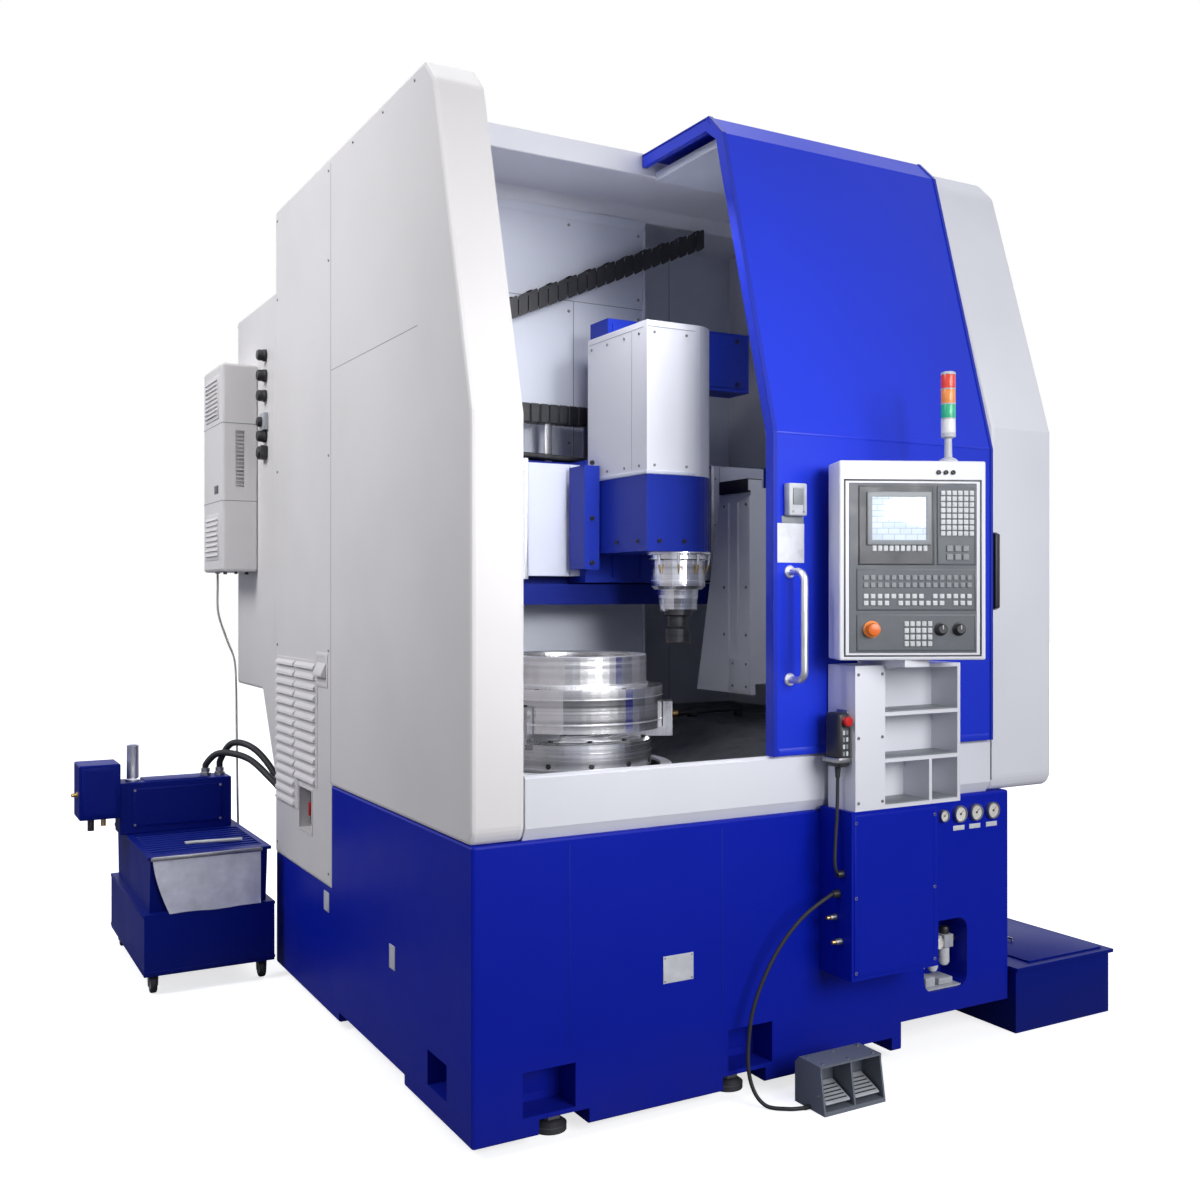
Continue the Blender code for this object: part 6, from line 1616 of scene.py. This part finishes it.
def makeChuckDetails():           # bands, face rings and plugs of the chuck body
    v = chuckValues
    radius, top = v["radius"], v["top"]
    bands = [addHoop(radius - 0.004, radius + 0.004, 0.902, 0.912), addHoop(radius - 0.004, radius + 0.0025,
                                                                            0.994, 0.997)]
    settle("chuckBands", bands, "chuck", chuckSteel)
    rings = [addHoop(ring - 0.001, ring + 0.001, top - 0.001, top + 0.0008, 72) for ring in v["rings"]]
    settle("faceRings", rings, "chuck", brightSteel)
    plugs = [screwHead((x, y, 0.955), (ux, uy, 0), 0.009, 0.003)
             for x, y, ux, uy in around(chuckCentre, radius - 0.0004, v["bolts"], v["firstBolt"])]
    plugs += [screwHead((x, y, top - 0.0002), (0, 0, 1), 0.008, 0.005)
              for x, y, _, _ in around(chuckCentre, v["topRing"], v["bolts"], v["firstBolt"])]
    settle("chuckPlugs", plugs, "chuck", blackScrew)


def makeJawDetails():             # clamp screws of the three jaws
    v = jawValues
    heads = []
    for number in range(1, 4):
        node = f"chuck_jaw_{number}"
        out = Vector((*middleOf(node), 0)) - Vector(chuckCentre)
        out.normalize()
        place = Vector(chuckCentre) + v["topScrew"] * out
        heads.append(screwHead((place.x, place.y, corners(node)[1].z - 0.0002), (0, 0, 1), 0.009, 0.005))
        place = Vector(chuckCentre) + v["sideScrews"] * out
        heads += addScrews([(place.x, place.y, z) for z in v["heights"]], (out.x, out.y, 0), 0.008, 0.004)
    settle("jawScrews", heads, "chuck", blackScrew)


def makeRingDetails():            # turned steps, bore chamfer and hole circle of the clamped ring
    v = ringValues
    top = corners("clamped_ring")[1].z
    rim = [(0.2, top - 0.0006), (0.2485, top - 0.0006), (0.2475, top + 0.0012), (0.2065, top + 0.0012)]
    steps = [addTurned(rim, chuckCentre, steps=96), addTurned(v["shoulder"], chuckCentre, steps=96)]
    steps += [addHoop(0.300, 0.3042, z0, z1) for z0, z1 in v["grooves"]]
    settle("ringSteps", steps, "chuck", brightSteel)
    hole = [(0, 0), (0.0075, 0), (0.0075, 0.0012), (0, 0.0012)]
    ring = around(chuckCentre, v["holeRing"], v["holes"], v["firstHole"])
    holes = [addTurned(hole, (x, y, 1.2), steps=16) for x, y, _, _ in ring]
    settle("ringHoles", holes, "chuck", blackScrew)


makeChuckDetails()
makeJawDetails()
makeRingDetails()


print("stage: rear, roof and right side")
cabinetDoorValues = {"foot": 1.16, "gap": 0.022, "margin": 0.035, "proud": 0.012, "bevel": 0.003,
                     "hinges": (0.14, 0.76, 1.38), "latches": (0.27, 1.17),
                     "latch": [(0, 0), (0.017, 0), (0.017, 0.003), (0.013, 0.006), (0, 0.006)]}
hatchValues = {"seams": (0.76, 1.40), "low": (0.86, 1.06), "high": (1.32, 1.90), "pulls": (1.02, 1.16),
               "pull": ((0.003, 1.47), (0.012, 1.475), (0.012, 1.485), (0.003, 1.515))}
tankValues = {"lids": ((0.03, 0.56), (0.60, 1.13), (1.17, 1.72)), "handle": (0.20, 0.31),
              "handleRise": 0.018, "handleRadius": 0.004}


def makeCabinetDoors():           # two doors with hinges and turn latches, and the drip edge
    v = cabinetDoorValues
    low, high = corners("electrical_cabinet")
    rear, foot, middle = high.y, v["foot"], (low.x + high.x) / 2
    face = rear + v["proud"]
    doors, fittings = [], []
    for side, outer in ((-1, low.x + v["margin"]), (1, high.x - v["margin"])):
        inner, edge = middle + side * v["gap"] / 2, outer + side * 0.006
        hold = inner + side * 0.05
        x0, x1 = sorted((outer, inner))
        door = addBlock((x0, rear - 0.002, foot), (x1, face, high.z - v["margin"]), v["bevel"])
        doors.append(insetTop(door, (0, 1, 0), 0.018, -0.002))
        for z in (foot + rise for rise in v["hinges"]):
            hinge = addBar((edge, rear + 0.007, z - 0.035), (edge, rear + 0.007, z + 0.035), 0.0065, 16)
            fittings.append(coat(hinge, screwSteel))
        for z in (foot + rise for rise in v["latches"]):
            disc = addTurned(v["latch"], (hold, face - 0.0015, z), (0, 1, 0), steps=32)
            key = addBlock((hold - 0.010, face + 0.004, z - 0.0018),
                           (hold + 0.010, face + 0.0062, z + 0.0018), 0.0006)
            fittings += [coat(disc, blackPlastic), coat(key, screwSteel)]
    settle("cabinetDoors", doors, "machine", shadedSideWhite)
    settle("cabinetFittings", fittings, "machine")
    x, top = low.x + 0.004, high.z
    drip = [(x, rear - 0.003, top - 0.016), (x, rear + 0.020, top - 0.022), (x, rear + 0.020, top - 0.020),
            (x, rear - 0.003, top - 0.006)]
    settle("cabinetDrip", addOutline(drip, (high.x - low.x - 0.008, 0, 0)), "machine", shadedSideWhite)


def makeRoofDetails():            # standing seams and bolts of the roof sheets
    low, high = corners("roof_panel")
    y, z = low.y + 0.03, high.z
    ribs = [addOutline([(x - 0.009, y, z - 0.0003), (x - 0.006, y, z + 0.008), (x + 0.006, y, z + 0.008),
                        (x + 0.009, y, z - 0.0003)],
                       (0, high.y - low.y - 0.06, 0)) for x in (low.x + 0.60, high.x - 0.62)]
    settle("roofSeams", ribs, "machine", housingWhite)
    across = (low.x + 0.04, low.x + 0.30, (low.x + high.x) / 2, high.x - 0.30, high.x - 0.04)
    heads = addScrews(grid(across, (low.y + 0.04, high.y - 0.04), (z - 0.0002,)), (0, 0, 1), 0.008, 0.005)
    settle("roofScrews", heads, "machine", screwSteel)


def makeRightSide():              # seams, hatch and screws of the right housing
    v = hatchValues
    x = corners("right_side_housing")[1].x
    seams = addBlocks([((x - 0.001, y - 0.001, 0.86), (x + 0.0006, y + 0.001, 3.03)) for y in v["seams"]],
                      0.0003)
    settle("rightSeams", seams, "machine", keyGrey)
    hatch = insetTop(addBlock((x - 0.001, *v["low"]), (x + 0.005, *v["high"]), 0.002), (1, 0, 0), 0.016,
                     -0.0015)
    heads = addScrews(grid((x + 0.0045,), (0.873, 1.307), (1.10, 1.48, 1.86)), (1, 0, 0), 0.005, 0.003)
    pulls = [addOutline([(x + proud, y - 0.035, z) for proud, z in v["pull"]], (0, 0.07, 0), 0.001)
             for y in v["pulls"]]
    settle("rightHatch", [coat(hatch, housingWhite)] + coated(screwSteel, heads)
           + coated(blackPlastic, pulls), "machine")
    places = grid((x - 0.0002,), (0.34, 0.73, 0.79, 1.37, 1.43, 1.96), (0.90, 1.55, 2.25, 2.98))
    settle("rightScrews", addScrews(places, (1, 0, 0), 0.005, 0.003), "machine", screwSteel)


def makeTankDetails():            # lids and lifting handles of the coolant tank
    v = tankValues
    low, high = corners("coolant_tank")
    x, top = (low.x + high.x) / 2 - 0.02, high.z
    radius, rise = v["handleRadius"], v["handleRise"]
    parts = []
    for near, far in v["lids"]:
        lid = addBlock((low.x + 0.09, low.y + near, top - 0.0005),
                       (high.x - 0.03, low.y + far, top + 0.006), 0.002)
        y0, y1 = (low.y + near + reach for reach in v["handle"])
        handle = [addBar((x, y0, top + rise), (x, y1, top + rise), radius, 12)]
        handle += [addBar((x, y, top + 0.0055), (x, y, top + rise + 0.002), radius, 12)
                   for y in (y0 + 0.002, y1 - 0.002)]
        parts += [coat(lid, shadedCartBlue)] + coated(screwSteel, handle)
    settle("tankLids", parts, "machine")


def makeBaseRear():               # bolts and cover plate at the base's rear
    rear = corners("base_casting")[1].y
    heads = addScrews(grid((0.30, 0.75, 1.25, 1.75), (rear - 0.0002,), (0.20, 0.66)), (0, 1, 0), 0.009, 0.006)
    settle("baseRearScrews", heads, "machine", blackScrew)
    plate = insetTop(addBlock((1.52, rear - 0.001, 0.26), (1.98, rear + 0.005, 0.60), 0.002), (0, 1, 0),
                     0.015, -0.001)
    settle("baseRearCover", plate, "machine", baseBlue)


makeCabinetDoors()
makeRoofDetails()
makeRightSide()
makeTankDetails()
makeBaseRear()


print("stage: done")
